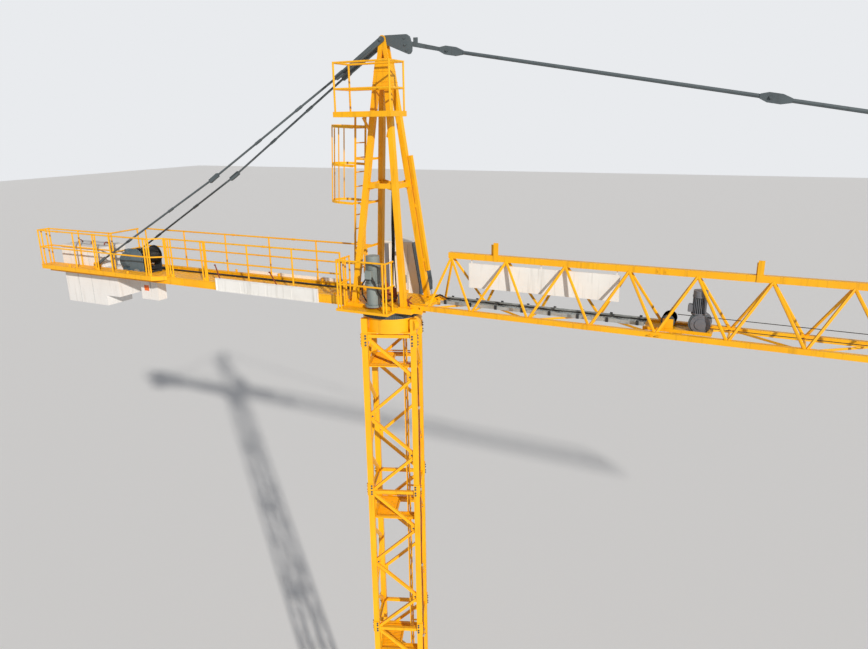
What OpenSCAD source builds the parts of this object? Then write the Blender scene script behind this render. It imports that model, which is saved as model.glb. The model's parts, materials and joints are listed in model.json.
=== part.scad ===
// Tower crane with a level jib, a four-leg tower head and a cross foot, as a half-size model.
// All lengths are millimetres of the model. +X runs along the jib, +Z is up, and the origin is
// on the slewing axis, on the underside of the foot.

/* [Foot] */
// Length of each beam of the foot cross
foot_beam_len = 2300; // [1800:10:3200]
// Width of a foot beam
foot_beam_w = 130; // [100:5:200]
// Height of a foot beam
foot_beam_h = 160; // [120:5:260]
// Side of the square anchor plate at each beam end
anchor_plate = 230; // [190:5:320]
// Thickness of an anchor plate
anchor_plate_t = 25; // [15:1:40]
// Radius of an anchor bolt hole
anchor_hole_r = 14; // [8:1:22]
// Height of the shoe under each mast chord
shoe_h = 60; // [40:5:120]
// Side of the square shoe plate
shoe_w = 110; // [90:5:140]

/* [Mast] */
// Number of mast sections
mast_sections = 5; // [2:1:6]
// Height of one mast section
section_h = 1885; // [1500:5:2200]
// Distance between the centres of two mast chords
mast_pitch = 530; // [450:5:700]
// Side of a square mast chord
mast_chord = 65; // [50:1:90]
// Width of a mast lattice bar
mast_bar = 36; // [24:1:48]
// Diagonals in one section of one side
mast_diagonals = 4; // [2:2:6]
// Length of the joint plates where two sections meet
joint_plate_h = 150; // [80:5:240]
// Thickness of a joint plate
joint_plate_t = 8; // [5:1:14]
// Turn of the mast about the slewing axis, from the jib
mast_turn = 21; // [0:1:45]

/* [Ladders] */
// Width of a ladder between its stiles
ladder_w = 200; // [160:5:260]
// Distance between two rungs
rung_pitch = 150; // [120:5:175]
// Width of a ladder stile
stile_w = 20; // [14:1:30]
// Diameter of a rung
rung_d = 14; // [10:1:20]
// Drop from a mast joint to the rest platform under it
landing_drop = 400; // [250:10:600]
// Thickness of a rest platform
landing_t = 14; // [8:1:24]

/* [Slewing parts] */
// Height of the support between the mast and the slewing ring
support_h = 162; // [110:1:200]
// Outer diameter of the slewing ring
ring_d = 640; // [560:10:700]
// Radial width of the slewing ring
ring_w = 60; // [40:5:80]
// Height of each half of the slewing ring
ring_half_h = 42; // [30:1:60]
// Clearance between the two halves of the slewing ring
ring_gap = 6; // [5:1:10]
// Height of the slewing platform's frame
platform_h = 60; // [50:2:100]
// Length of the slewing platform along the jib
platform_l = 820; // [760:10:900]
// Width of the slewing platform
platform_w = 640; // [620:10:720]
// How far the side landing reaches out from the platform
side_landing = 165; // [140:5:240]
// Length of the side landing
side_landing_l = 630; // [560:10:700]
// Diameter of the slewing motor
slew_motor_d = 190; // [120:5:200]
// Height of the slewing motor and its gearbox
slew_motor_h = 540; // [400:10:600]

/* [Tower head] */
// Height of the tie pin above the deck
head_h = 2650; // [2200:10:3000]
// Distance from the slewing axis to a leg, along the jib, at the deck
head_base_x = 300; // [260:5:340]
// Distance from the slewing axis to a leg, across the jib, at the deck
head_base_y = 272; // [240:2:280]
// Distance from the slewing axis to a leg at the tie pin
head_top_half = 23; // [18:1:36]
// Side of a square head leg
leg_w = 57; // [50:1:75]
// Side of the spare strut stowed on a head leg
strut_w = 40; // [30:1:50]
// Height of the lower cross beams above the deck
beam_z = 1235; // [1000:5:1400]
// Height of the closed head top below the tie pin
head_top_h = 440; // [380:5:500]
// Height of the head platform above the deck
head_platform_z = 1930; // [1700:5:2000]
// Diameter of the tie pin
tie_pin_d = 30; // [24:1:40]

/* [Railings] */
// Height of a handrail above its floor
rail_h = 535; // [480:5:600]
// Diameter of handrails and posts
rail_d = 20; // [14:1:26]
// Height of the head platform's handrail above its floor
head_rail_h = 505; // [460:5:560]
// Greatest distance between two posts
post_step = 760; // [500:10:900]
// Height of a toe board
toe_h = 40; // [24:2:60]

/* [Cab] */
// Length of the cab's floor along the jib
cab_l = 440; // [400:2:640]
// Width of the cab
cab_w = 340; // [300:10:560]
// Height of the cab
cab_h = 723; // [650:1:1050]
// How far the cab's front leans back from floor to roof
cab_lean = 87; // [60:1:200]
// Clear width between the slewing platform and the cab
cab_reach = 125; // [120:5:180]
// Thickness of the cab's walls
cab_wall = 25; // [15:1:35]

/* [Counter-jib] */
// Distance from the slewing axis to the end of the counter-jib
counter_len = 5290; // [4800:10:5600]
// Half width of the narrow deck
deck_half = 288; // [260:2:320]
// Distance from the middle to the edge of the wide walkway, on the near side
wide_half = 400; // [370:5:450]
// Length of the wide walkway
wide_len = 2070; // [2000:10:2400]
// Distance from the middle to the walkway's rail beside the ballast
inner_rail = 222; // [218:1:240]
// Height of the girders' tops above the slewing platform
girder_top = 50; // [30:5:70]
// Depth of the counter-jib girders
girder_h = 98; // [90:1:160]
// Width of a counter-jib girder
girder_w = 55; // [40:1:70]
// Thickness of the counter-jib's floor sheets
floor_t = 12; // [6:1:20]
// Length of a name board
board_len = 1482; // [1200:2:1800]
// Height of a name board
board_h = 158; // [130:2:260]
// Thickness of a name board
board_t = 12; // [6:1:20]

/* [Ballast] */
// Number of large ballast slabs
slab_count = 3; // [1:1:3]
// Thickness of a ballast slab
slab_t = 260; // [200:1:265]
// Width of a slab
slab_w = 400; // [320:10:404]
// Depth of a slab's foot below the slewing platform
slab_low_h = 478; // [300:1:600]
// Height of a slab's top above the slewing platform
slab_top_h = 315; // [250:5:400]
// Length of the short end block along the counter-jib
end_block_l = 251; // [200:1:300]
// Depth of the short end block's foot below the slewing platform
end_block_h = 336; // [250:1:450]
// Width of a small ballast block
small_block_w = 140; // [100:10:200]
// Height of a small ballast block
small_block_h = 349; // [200:1:450]

/* [Hoist] */
// Diameter of the hoist drum over its rope
drum_d = 200; // [160:5:210]
// Length of the hoist drum between its flanges
drum_len = 270; // [220:5:340]
// Diameter of the hoist motor
hoist_motor_d = 205; // [150:5:220]
// Diameter of the hoist rope
rope_d = 8; // [6:1:12]

/* [Jib] */
// Number of bays in the jib
jib_bays = 28; // [22:1:30]
// Length of one jib bay
bay = 600; // [540:5:640]
// Height between the top and bottom chords
jib_h = 540; // [480:5:620]
// Half the distance between the bottom chords
jib_half = 214; // [180:2:240]
// Side of the square top chord
top_chord = 60; // [50:1:70]
// Side of a square bottom chord
bottom_chord = 50; // [40:1:56]
// Diameter of a jib diagonal
jib_bar = 28; // [20:1:34]
// Distance from the slewing axis to the jib's pivot pins
pivot_x = 470; // [450:5:490]
// Distance from the slewing axis to the first top node
first_node = 735; // [700:5:780]
// Top node that carries the tie
tie_node = 18; // [15:1:20]
// Diameter of a tie bar
tie_d = 34; // [26:1:44]
// Width of the jib's walkway
walk_w = 190; // [150:5:220]
// Top node over the trolley
trolley_node = 12; // [9:1:15]
// Drop from the trolley to the hook block
hook_drop = 900; // [500:10:1400]

/* [Hidden] */

yellow = "#f7b500";
dark_grey = "#4b5358";
zinc = "#aab0b0";
white = "#ecebe6";
concrete = "#d9d4cc";
motor_blue = "#6d7f88";
black = "#202020";

seat = 0.3;
race_gap = 0.8;
foot_h = foot_beam_h + shoe_h;
mast_top = foot_h + mast_sections * section_h;
mast_half = mast_pitch / 2;
mast_inner = mast_half - mast_chord / 2;
ring_z = mast_top + support_h;
upper_ring_z = ring_z + ring_half_h + ring_gap;
platform_z = upper_ring_z + ring_half_h;
deck_z = platform_z + platform_h;

function lerp(a, b, t) = a + (b - a) * t;
function leg_x(z) = lerp(head_base_x, head_top_half, z / head_h);
function leg_y(z) = lerp(head_base_y, head_top_half, z / head_h);
function node_x(i) = first_node + i * bay;
jib_end = node_x(jib_bays - 1) + bay / 2 + 30;

// Straight bar with few sides from point a to point b; its flats follow the axes where it is upright
module rod(a, b, d, sides = 6, turn = 0) {
    v = b - a;
    tilt = acos(v.z / norm(v));
    heading = atan2(v.y, v.x);
    translate(a) rotate([0, 0, heading]) rotate([0, tilt, 0]) rotate([0, 0, turn - heading])
        cylinder(h = norm(v), d = d, $fn = sides);
}

// Square bar of side w from point a to point b
module square_bar(a, b, w) {
    rod(a, b, w * sqrt(2), 4, 45);
}

// Box given by its low and high corners
module span_box(low, high) {
    translate(low) cube(high - low);
}

module on_mast() {
    rotate([0, 0, mast_turn]) children();
}

module on_deck() {
    translate([0, 0, deck_z]) children();
}

// Round bar that lies along Y, centred on y = 0
module pin_y(x, z, d, len) {
    translate([x, len / 2, z]) rotate([90, 0, 0]) cylinder(h = len, d = d, $fn = 32);
}

// Foot

module base_cross() {
    reach = foot_beam_len / 2;
    bolt_reach = reach + anchor_plate / 4;
    color(yellow) on_mast() difference() {
        union() {
            for (turn = [45, 135]) rotate([0, 0, turn])
                span_box([-reach, -foot_beam_w / 2, 0], [reach, foot_beam_w / 2, foot_beam_h]);
            for (turn = [45 : 90 : 315]) rotate([0, 0, turn])
                translate([reach, 0, anchor_plate_t / 2])
                    cube([anchor_plate, anchor_plate, anchor_plate_t], center = true);
            for (sx = [-1, 1], sy = [-1, 1])
                translate([sx * mast_half, sy * mast_half, foot_beam_h + shoe_h / 2])
                    cube([shoe_w, shoe_w, shoe_h], center = true);
        }
        for (turn = [45 : 90 : 315]) rotate([0, 0, turn])
            translate([bolt_reach, 0, -1]) cylinder(h = anchor_plate_t + 2, r = anchor_hole_r, $fn = 32);
    }
}

// Mast

module mast_chords() {
    color(yellow) on_mast() for (sx = [-1, 1], sy = [-1, 1])
        translate([sx * mast_half, sy * mast_half, 0]) {
            translate([-mast_chord / 2, -mast_chord / 2, foot_h])
                cube([mast_chord, mast_chord, mast_top - foot_h]);
            for (i = [1 : mast_sections - 1]) joint_plates(sx, sy, foot_h + i * section_h);
            joint_plates(sx, sy, mast_top - joint_plate_h / 2 - 4);
        }
}

// Plates that join two chord lengths, on the two outer faces of the chord
module joint_plates(sx, sy, z) {
    half = mast_chord / 2;
    translate([sx * (half + joint_plate_t / 2), 0, z])
        cube([joint_plate_t, mast_chord, joint_plate_h], center = true);
    translate([0, sy * (half + joint_plate_t / 2), z])
        cube([mast_chord, joint_plate_t, joint_plate_h], center = true);
}

// One side of the mast in the XZ plane, between the inner faces of its chords
module mast_side() {
    step = section_h / mast_diagonals;
    color(yellow) intersection() {
        union() for (i = [0 : mast_sections - 1]) {
            z0 = foot_h + i * section_h;
            translate([0, 0, z0 + section_h - mast_bar])
                cube([mast_pitch, mast_bar, mast_bar], center = true);
            for (k = [0 : mast_diagonals - 1]) {
                side = (k % 2 == 0) ? 1 : -1;
                square_bar([-side * mast_half, 0, z0 + k * step - mast_bar],
                    [side * mast_half, 0, z0 + (k + 1) * step - mast_bar], mast_bar * 0.88);
                translate([side * mast_half, 0, z0 + (k + 1) * step - mast_bar])
                    cube([mast_chord + 76, 8, 104], center = true);
            }
        }
        span_box([-mast_inner, -mast_bar, foot_h], [mast_inner, mast_bar, mast_top]);
    }
}

module mast_side_at(turn) {
    on_mast() rotate([0, 0, turn]) translate([0, -mast_half, 0]) mast_side();
}

module mast_side_front() { mast_side_at(0); }
module mast_side_right() { mast_side_at(90); }
module mast_side_back() { mast_side_at(180); }
module mast_side_left() { mast_side_at(270); }

// Ladder from z = 0 up, with its stiles across Y
module ladder(height) {
    for (side = [-1, 1]) translate([0, side * ladder_w / 2, height / 2])
        cube([stile_w, stile_w / 2, height], center = true);
    for (z = [rung_pitch / 2 : rung_pitch : height - rung_d])
        translate([0, ladder_w / 2, z]) rotate([90, 0, 0]) cylinder(h = ladder_w, d = rung_d, $fn = 6);
}

mast_ladder_x = mast_half - 130;
hatch = ladder_w + 60;

module mast_ladder() {
    reach = mast_half - mast_bar / 2 - mast_ladder_x;
    color(yellow) on_mast() translate([mast_ladder_x, 0, foot_beam_h]) {
        ladder(mast_top - foot_beam_h - 2 * mast_bar);
        for (i = [1 : mast_sections], side = [-1, 1])
            translate([0, side * ladder_w / 2, shoe_h + i * section_h - mast_bar])
                translate([0, -stile_w / 4, -stile_w / 2]) cube([reach, stile_w / 2, stile_w]);
    }
}

module mast_landings() {
    half = mast_half - mast_bar / 2;
    color(yellow) on_mast() for (i = [1 : mast_sections])
        translate([0, 0, foot_h + i * section_h - landing_drop]) difference() {
            translate([-half, -half, 0]) cube([2 * half, 2 * half, landing_t]);
            for (sx = [-1, 1], sy = [-1, 1]) translate([sx * mast_half, sy * mast_half, 0])
                cube([mast_chord, mast_chord, 4 * landing_t], center = true);
            translate([mast_ladder_x - hatch / 2, -hatch / 2, -1]) cube([hatch, hatch, landing_t + 2]);
        }
}

// Slewing ring and its support

module slew_support() {
    half = mast_half + mast_chord / 2;
    color(yellow) on_mast() difference() {
        union() {
            for (sx = [-1, 1], sy = [-1, 1]) translate([sx * mast_half, sy * mast_half, mast_top + support_h / 2])
                cube([mast_chord, mast_chord, support_h], center = true);
            translate([0, 0, mast_top]) cylinder(h = support_h, d = ring_d, $fn = 96);
            translate([-half, -half, mast_top]) cube([2 * half, 2 * half, 14]);
            translate([half - 30, -half + 30, mast_top + support_h - 66]) rotate([90, 0, -45])
                translate([0, 0, -25]) cylinder(h = 50, r = 62, $fn = 48);
        }
        translate([0, 0, mast_top - 1]) cylinder(h = support_h + 2, d = ring_d - 3 * ring_w, $fn = 96);
    }
}

module ring(z) {
    color(dark_grey) translate([0, 0, z]) difference() {
        cylinder(h = ring_half_h, d = ring_d, $fn = 96);
        translate([0, 0, -1]) cylinder(h = ring_half_h + 2, d = ring_d - 2 * ring_w, $fn = 96);
    }
}

module slew_ring_lower() { ring(ring_z); }

// The upper ring has an inner race that runs inside the lower ring
module slew_ring_upper() {
    r = ring_d / 2 - ring_w;
    ring(upper_ring_z);
    color(dark_grey) translate([0, 0, ring_z + ring_gap]) difference() {
        cylinder(h = ring_half_h * 2, r = r - race_gap, $fn = 96);
        translate([0, 0, -1]) cylinder(h = ring_half_h * 2 + 2, r = r - 21, $fn = 96);
        translate([0, 0, ring_half_h * 2 - 4]) cylinder(h = 10, r = r + 10, $fn = 96);
    }
    color(dark_grey) translate([0, 0, upper_ring_z + ring_half_h - 10]) difference() {
        cylinder(h = 10, r = r + 2, $fn = 96);
        translate([0, 0, -1]) cylinder(h = 12, r = r - 21, $fn = 96);
    }
}

// Slewing platform, with the side landing for the slewing motor

side_y = platform_w / 2 + side_landing;
landing_z = -34;

module slewing_platform() {
    ear_t = 20;
    color(yellow) on_deck() difference() {
        union() {
            span_box([-platform_l / 2, -platform_w / 2, -platform_h], [platform_l / 2, platform_w / 2, 0]);
            span_box([-platform_l / 2, -side_y, -platform_h], [side_landing_l - platform_l / 2, -platform_w / 2, landing_z]);
            for (x = [cab_x0 + 60, cab_x0 + cab_l * 0.7 - 60])
                span_box([x, platform_w / 2 - 1, -platform_h], [x + 60, cab_y0 - seat, 0]);
            for (side = [-1, 1], dy = [-ear_t - bottom_chord / 2 - seat, bottom_chord / 2 + seat])
                span_box([platform_l / 2 - 40, side * jib_half + dy, -platform_h],
                    [pivot_x + 34, side * jib_half + dy + ear_t, 34]);
        }
        translate([0, 0, -platform_h - 1]) cylinder(h = platform_h / 2, d = ring_d - 2 * ring_w, $fn = 64);
        pin_y(pivot_x, 0, 24, 2 * platform_w);
    }
}

module post(x, y, z0, z1) {
    rod([x, y, z0], [x, y, z1], rail_d, 8);
}

// Handrail, mid rail and posts along a list of corner points on one floor
module railing(points, floor_z, height = rail_h) {
    for (i = [0 : len(points) - 2]) {
        a = points[i];
        b = points[i + 1];
        n = max(1, ceil(norm(b - a) / post_step));
        for (h = [height / 2, height - rail_d / 2])
            rod([a.x, a.y, floor_z + h], [b.x, b.y, floor_z + h], rail_d, 8);
        for (k = [0 : n]) {
            p = lerp(a, b, k / n);
            post(p.x, p.y, floor_z, floor_z + height);
        }
    }
}

module platform_railing() {
    inset = rail_d;
    x0 = -platform_l / 2 + inset;
    x1 = side_landing_l - platform_l / 2 - inset;
    y0 = -side_y + inset;
    z = landing_z;
    h = rail_h - 5;
    color(yellow) on_deck() {
        railing([[x0, -platform_w / 2 - inset], [x0, y0], [x1, y0], [x1, -platform_w / 2 - inset]], z, h);
        for (x = [x0 + 36, x1 - 36]) post(x, y0, z, z + h - rail_d / 2);
        for (y = [-deck_half - 12, -deck_half + 70]) post(x0, y, 0, z + h);
        for (level = [z + h / 2, z + h - rail_d / 2]) {
            rod([x0, -platform_w / 2 - inset, level], [x0, -deck_half + 70, level], rail_d, 8);
            rod([x1, -platform_w / 2 - inset, level], [x1, -head_base_y - leg_w / 2 - 6, level], rail_d, 8);
        }
    }
}

module slewing_gear() {
    r = slew_motor_d / 2;
    color(motor_blue) on_deck() translate([-20, -platform_w / 2 - 20, seat]) {
        cylinder(h = slew_motor_h * 0.04, r = r, $fn = 32);
        cylinder(h = slew_motor_h * 0.45, r = r * 0.8, $fn = 32);
        translate([0, 0, slew_motor_h * 0.42]) cylinder(h = slew_motor_h * 0.05, r = r * 0.95, $fn = 32);
        translate([0, 0, slew_motor_h * 0.45]) cylinder(h = slew_motor_h * 0.43, r = r * 0.75, $fn = 32);
        translate([0, 0, slew_motor_h * 0.86]) cylinder(h = slew_motor_h * 0.14, r = r * 0.68, $fn = 32);
    }
}

// Tower head

module head_legs() {
    top = head_h - head_top_h;
    color(yellow) on_deck() intersection() {
        union() for (sx = [-1, 1], sy = [-1, 1]) {
            square_bar([sx * leg_x(-100), sy * leg_y(-100), -100],
                [sx * leg_x(head_h), sy * leg_y(head_h), head_h], leg_w);
            translate([sx * head_base_x, sy * head_base_y, 4]) cube([leg_w + 34, leg_w + 30, 8], center = true);
        }
        span_box([-platform_l, -platform_l, 0], [platform_l, platform_l, top]);
    }
}

module head_beams() {
    w = leg_w * 0.9;
    x = leg_x(beam_z);
    y = leg_y(beam_z);
    color(yellow) on_deck() difference() {
        union() {
            for (side = [-1, 1]) {
                translate([0, side * y, beam_z]) cube([2 * x, w * 0.6, w], center = true);
                translate([side * x, 0, beam_z]) cube([w * 0.6, 2 * y, w], center = true);
            }
        }
        for (sx = [-1, 1], sy = [-1, 1])
            square_bar([sx * leg_x(0), sy * leg_y(0), 0],
                [sx * leg_x(head_h), sy * leg_y(head_h), head_h], leg_w);
    }
}

module head_top() {
    z0 = head_h - head_top_h;
    z1 = head_h - 185;
    half = 68;
    lug_t = 20;
    lug_r = 33;
    color(yellow) on_deck() difference() {
        union() {
            hull() {
                translate([0, 0, z0 + 1])
                    cube([2 * leg_x(z0) + leg_w, 2 * leg_y(z0) + leg_w, 2], center = true);
                translate([0, 0, z1]) cube([2 * half, 2 * half, 2], center = true);
            }
            for (side = [-1, 1]) translate([0, side * 30 + lug_t / 2, 0]) rotate([90, 0, 0])
                linear_extrude(lug_t) difference() {
                    union() {
                        translate([0, head_h + 8]) circle(r = lug_r, $fn = 48);
                        polygon([[-lug_r, head_h + 8], [lug_r, head_h + 8], [half, z1 - 10], [-half, z1 - 10]]);
                    }
                    polygon([[-22, z1 + 12], [22, z1 + 12], [0, z1 + 100]]);
                }
        }
        pin_y(0, head_h, tie_pin_d, 400);
    }
}

head_floor_y = -leg_y(head_platform_z - floor_t) - leg_w * 0.503 - seat;
head_floor = [[-355, -435], [305, head_floor_y]];

module head_platform() {
    low = head_floor[0];
    high = head_floor[1];
    z = head_platform_z;
    color(yellow) on_deck() {
        span_box([low.x, low.y, z - floor_t], [high.x, high.y, z]);
        for (y = [low.y, high.y - 8]) span_box([low.x, y, z - floor_t], [high.x, y + 8, z + toe_h]);
        for (x = [low.x, high.x - 8]) span_box([x, low.y, z - floor_t], [x + 8, high.y, z + toe_h]);
    }
}

module head_railing() {
    inset = rail_d / 2 + 8;
    low = head_floor[0] + [inset, inset];
    high = head_floor[1] - [inset, inset];
    color(yellow) on_deck() railing([[low.x, high.y], [low.x, low.y], [high.x, low.y],
        [high.x, high.y], [low.x, high.y]], head_platform_z, head_rail_h);
}

head_ladder_x = -410;
head_ladder_z = 240;
head_ladder_lean = 3.07;

module cage_hoop(r, t) {
    difference() {
        union() {
            translate([-r, 0]) circle(r = r, $fn = 24);
            translate([-r, -r]) square([r + stile_w / 2, 2 * r]);
        }
        translate([-r, 0]) circle(r = r - t, $fn = 24);
        translate([-r, t - r]) square([r + stile_w, 2 * (r - t)]);
    }
}

module head_ladder() {
    cage_r = 165;
    cage_t = 8;
    cage_low = 1030;
    cage_high = head_platform_z - 120;
    color(yellow) on_deck() {
        translate([head_ladder_x, 0, 0]) rotate([0, head_ladder_lean, 0]) {
            translate([0, 0, head_ladder_z]) ladder(head_platform_z - head_ladder_z);
            for (z = [cage_low, (cage_low + cage_high) / 2, cage_high])
                translate([0, 0, z]) {
                    linear_extrude(26) cage_hoop(cage_r, cage_t);
                    for (side = [-1, 1]) translate([-4, side * (ladder_w + cage_r * 2 - cage_t) / 4, 13])
                        cube([8, cage_r - ladder_w / 2, 20], center = true);
                }
            for (a = [90 : 45 : 270])
                translate([-cage_r + (cage_r - cage_t / 2) * cos(a), (cage_r - cage_t / 2) * sin(a), cage_low])
                    linear_extrude(cage_high - cage_low + 26) square(cage_t * 1.2, center = true);
        }
        for (z = [560, cage_low + 13, 1500]) {
            x = -leg_x(z - 12) - leg_w * 0.503 - seat;
            y = leg_y(z) + leg_w / 2;
            span_box([x - 12, -y, z - 12], [x, y, z + 12]);
            for (side = [-1, 1]) translate([0, side * ladder_w / 2, 0])
                span_box([head_ladder_x + z * tan(head_ladder_lean), -4, z - 10], [x - 6, 4, z + 10]);
        }
    }
}

// Ties

tie_lug = [node_x(tie_node), jib_h + top_chord / 2 + 30];
tie_start = [290, head_h - 62];
tie_slope = (tie_start.y - tie_lug.y) / (tie_lug.x - tie_start.x);
first_joint_x = 739;
tie_section = 2847;
function tie_z(x) = tie_lug.y + (tie_lug.x - x) * tie_slope;

// Plate in the XZ plane, centred on y = 0
module tie_plate(thickness) {
    translate([0, thickness / 2, 0]) rotate([90, 0, 0]) linear_extrude(thickness) children();
}

// Pinned joint of two tie sections, along the tie
module tie_joint(x) {
    translate([x, 0, tie_z(x)]) rotate([0, atan(tie_slope), 0]) {
        tie_plate(40) polygon([[-122, -19], [-60, -40], [45, -40], [122, -18], [122, 18], [45, 40], [-60, 40], [-122, 19]]);
        pin_y(-40, 0, 30, 60);
    }
}

module jib_tie() {
    color(dark_grey) on_deck() {
        tie_plate(24) difference() {
            union() {
                translate([0, head_h]) circle(r = 36, $fn = 48);
                polygon([[-10, head_h + 34], [31, head_h + 40], [258, head_h + 37], [290, head_h + 16],
                    [300, head_h - 10], [316, head_h - 90], [314, head_h - 120], [298, head_h - 142],
                    [276, head_h - 147], [74, head_h - 65], [-10, head_h - 34]]);
            }
            translate([0, head_h]) circle(d = tie_pin_d + 1, $fn = 48);
            translate([237, head_h + 4]) circle(d = 20, $fn = 24);
            translate([262, head_h - 109]) circle(d = 24, $fn = 24);
        }
        pin_y(0, head_h, tie_pin_d - 1, 136);
        pin_y(248, head_h - 55, 26, 50);
        tie_plate(20) polygon([[296, head_h - 40], [315, head_h - 33], [628, tie_z(628) + 19], [628, tie_z(628) - 19], [300, head_h - 76]]);
        span_box([334, -8, head_h - 62], [377, 8, head_h + 1]);
        rod([first_joint_x, 0, tie_z(first_joint_x)], [tie_lug.x - 60, 0, tie_z(tie_lug.x - 60)], tie_d, 8);
        for (k = [0 : floor((tie_lug.x - 400 - first_joint_x) / tie_section)]) tie_joint(first_joint_x + k * tie_section);
        difference() {
            union() {
                translate([tie_lug.x, 0, tie_lug.y]) rotate([0, atan(tie_slope), 0])
                    translate([-55, 0, 0]) cube([100, 18, 40], center = true);
                pin_y(tie_lug.x, tie_lug.y, 48, 22);
            }
            pin_y(tie_lug.x, tie_lug.y, 24, 200);
        }
    }
}

counter_lug = [-4340, 270, 105];

module counter_ties() {
    eye_y = 40 + seat;
    eye_t = 20;
    rod_d = 24;
    a = [0, eye_y + eye_t / 2, head_h];
    b = [lerp(0, counter_lug.x, 0.1145), 64, head_h - 313];
    c = [lerp(0, counter_lug.x, 0.514), 175, lerp(head_h, counter_lug.z, 0.543)];
    d = counter_lug;
    slope = atan((b.z - c.z) / (b.x - c.x));
    color(dark_grey) on_deck() for (side = [-1, 1]) {
        ps = [for (p = [a, b, c, d]) [p.x, p.y * side, p.z]];
        square_bar(lerp(ps[0], ps[1], 0.06), ps[1], eye_t);
        difference() {
            union() {
                translate([0, ps[0].y, 0]) tie_plate(eye_t) union() {
                    translate([0, head_h]) circle(r = 30, $fn = 48);
                    polygon([[-16, head_h + 22], [14, head_h - 26], [b.x + 14, b.z - 21], [b.x - 14, b.z + 21]]);
                }
                translate(ps[1]) rotate([0, -slope, 0]) cube([110, eye_t * 1.6, 46], center = true);
            }
            pin_y(0, head_h, tie_pin_d, 400);
        }
        rod(ps[1], ps[2], rod_d, 8);
        rod(ps[2], ps[3], rod_d, 8);
        translate(ps[2]) rotate([0, -slope, 0]) cube([150, 34, 44], center = true);
        translate(lerp(ps[2], ps[3], 0.955)) rotate([0, -slope, 0]) cube([170, 22, 34], center = true);
        translate([ps[3].x, ps[3].y, ps[3].z]) {
            pin_y(0, 0, 24, 2 * lug_out + 10);
            pin_y(0, 0, 46, rod_d);
        }
    }
}

module spare_strut() {
    gap = 14;
    out = leg_w / 2 + gap + strut_w / 2;
    color(yellow) on_deck() {
        square_bar([leg_x(1530) + out, leg_y(1530), 1530], [leg_x(300) + out, leg_y(300), 300], strut_w);
        for (z = [420, 1010]) translate([leg_x(z - strut_w / 2) + leg_w * 0.503 + seat, leg_y(z), z])
            translate([0, -strut_w / 2, -strut_w / 2]) cube([gap + strut_w / 2, strut_w, strut_w]);
    }
}

// Cab, hung on the far side of the slewing platform

cab_x0 = -330;
cab_y0 = platform_w / 2 + cab_reach;
cab_z0 = -165;

module cab_profile(inset) {
    offset(delta = -inset) polygon([[cab_x0, cab_z0], [cab_x0 + cab_l, cab_z0],
        [cab_x0 + cab_l, cab_z0 + cab_h * 0.3], [cab_x0 + cab_l - cab_lean, cab_z0 + cab_h],
        [cab_x0, cab_z0 + cab_h]]);
}

module cab_slice(inset, y0, y1) {
    translate([0, y1, 0]) rotate([90, 0, 0]) linear_extrude(y1 - y0) cab_profile(inset);
}

module cab_body() {
    color(white) on_deck() difference() {
        cab_slice(0, cab_y0, cab_y0 + cab_w);
        cab_slice(cab_wall, cab_y0 + cab_wall, cab_y0 + cab_w - cab_wall);
        span_box([cab_x0 + cab_l - cab_lean - 12, cab_y0 + 40, cab_z0 + cab_h * 0.35],
            [cab_x0 + cab_l + 1, cab_y0 + cab_w - 40, cab_z0 + cab_h - 60]);
    }
}

module cab_windows() {
    color("#6f8790") on_deck() intersection() {
        difference() {
            cab_slice(4, cab_y0 + 4, cab_y0 + cab_w - 4);
            cab_slice(10, cab_y0, cab_y0 + cab_w);
        }
        span_box([cab_x0 + cab_l - cab_lean - 12 + seat, cab_y0 + 40 + seat, cab_z0 + cab_h * 0.35 + seat],
            [cab_x0 + cab_l + 1, cab_y0 + cab_w - 40 - seat, cab_z0 + cab_h - 60 - seat]);
    }
}

// Counter-jib

wide_x1 = -counter_len + wide_len;
taper = wide_half - deck_half;
girder_z = girder_top - girder_h;
inner_y = deck_half - girder_w;
ballast_x0 = -counter_len + 40;
ballast_len = 1105;
ballast_x1 = ballast_x0 + ballast_len;

module counter_jib_frame() {
    x1 = -platform_l / 2 - seat;
    color(yellow) on_deck() {
        for (side = [-1, 1]) {
            y = side * (deck_half - girder_w / 2);
            span_box([-counter_len, y - girder_w / 2 + 6, girder_z + 8], [x1, y + girder_w / 2 - 6, girder_top - 8]);
            for (z = [girder_z, girder_top - 10])
                span_box([-counter_len, y - girder_w / 2, z], [x1, y + girder_w / 2, z + 10]);
        }
        for (x = [-counter_len, ballast_x1 + 2, lerp(ballast_x1, x1, 0.4), lerp(ballast_x1, x1, 0.7), x1 - girder_w])
            span_box([x, -inner_y - 2, girder_z + 10], [x + 36, inner_y + 2, girder_z + 44]);
    }
}

lug_t = 12;
lug_out = rope_d + 2 * lug_t;
floor_z = girder_z + 44 + seat;

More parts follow.
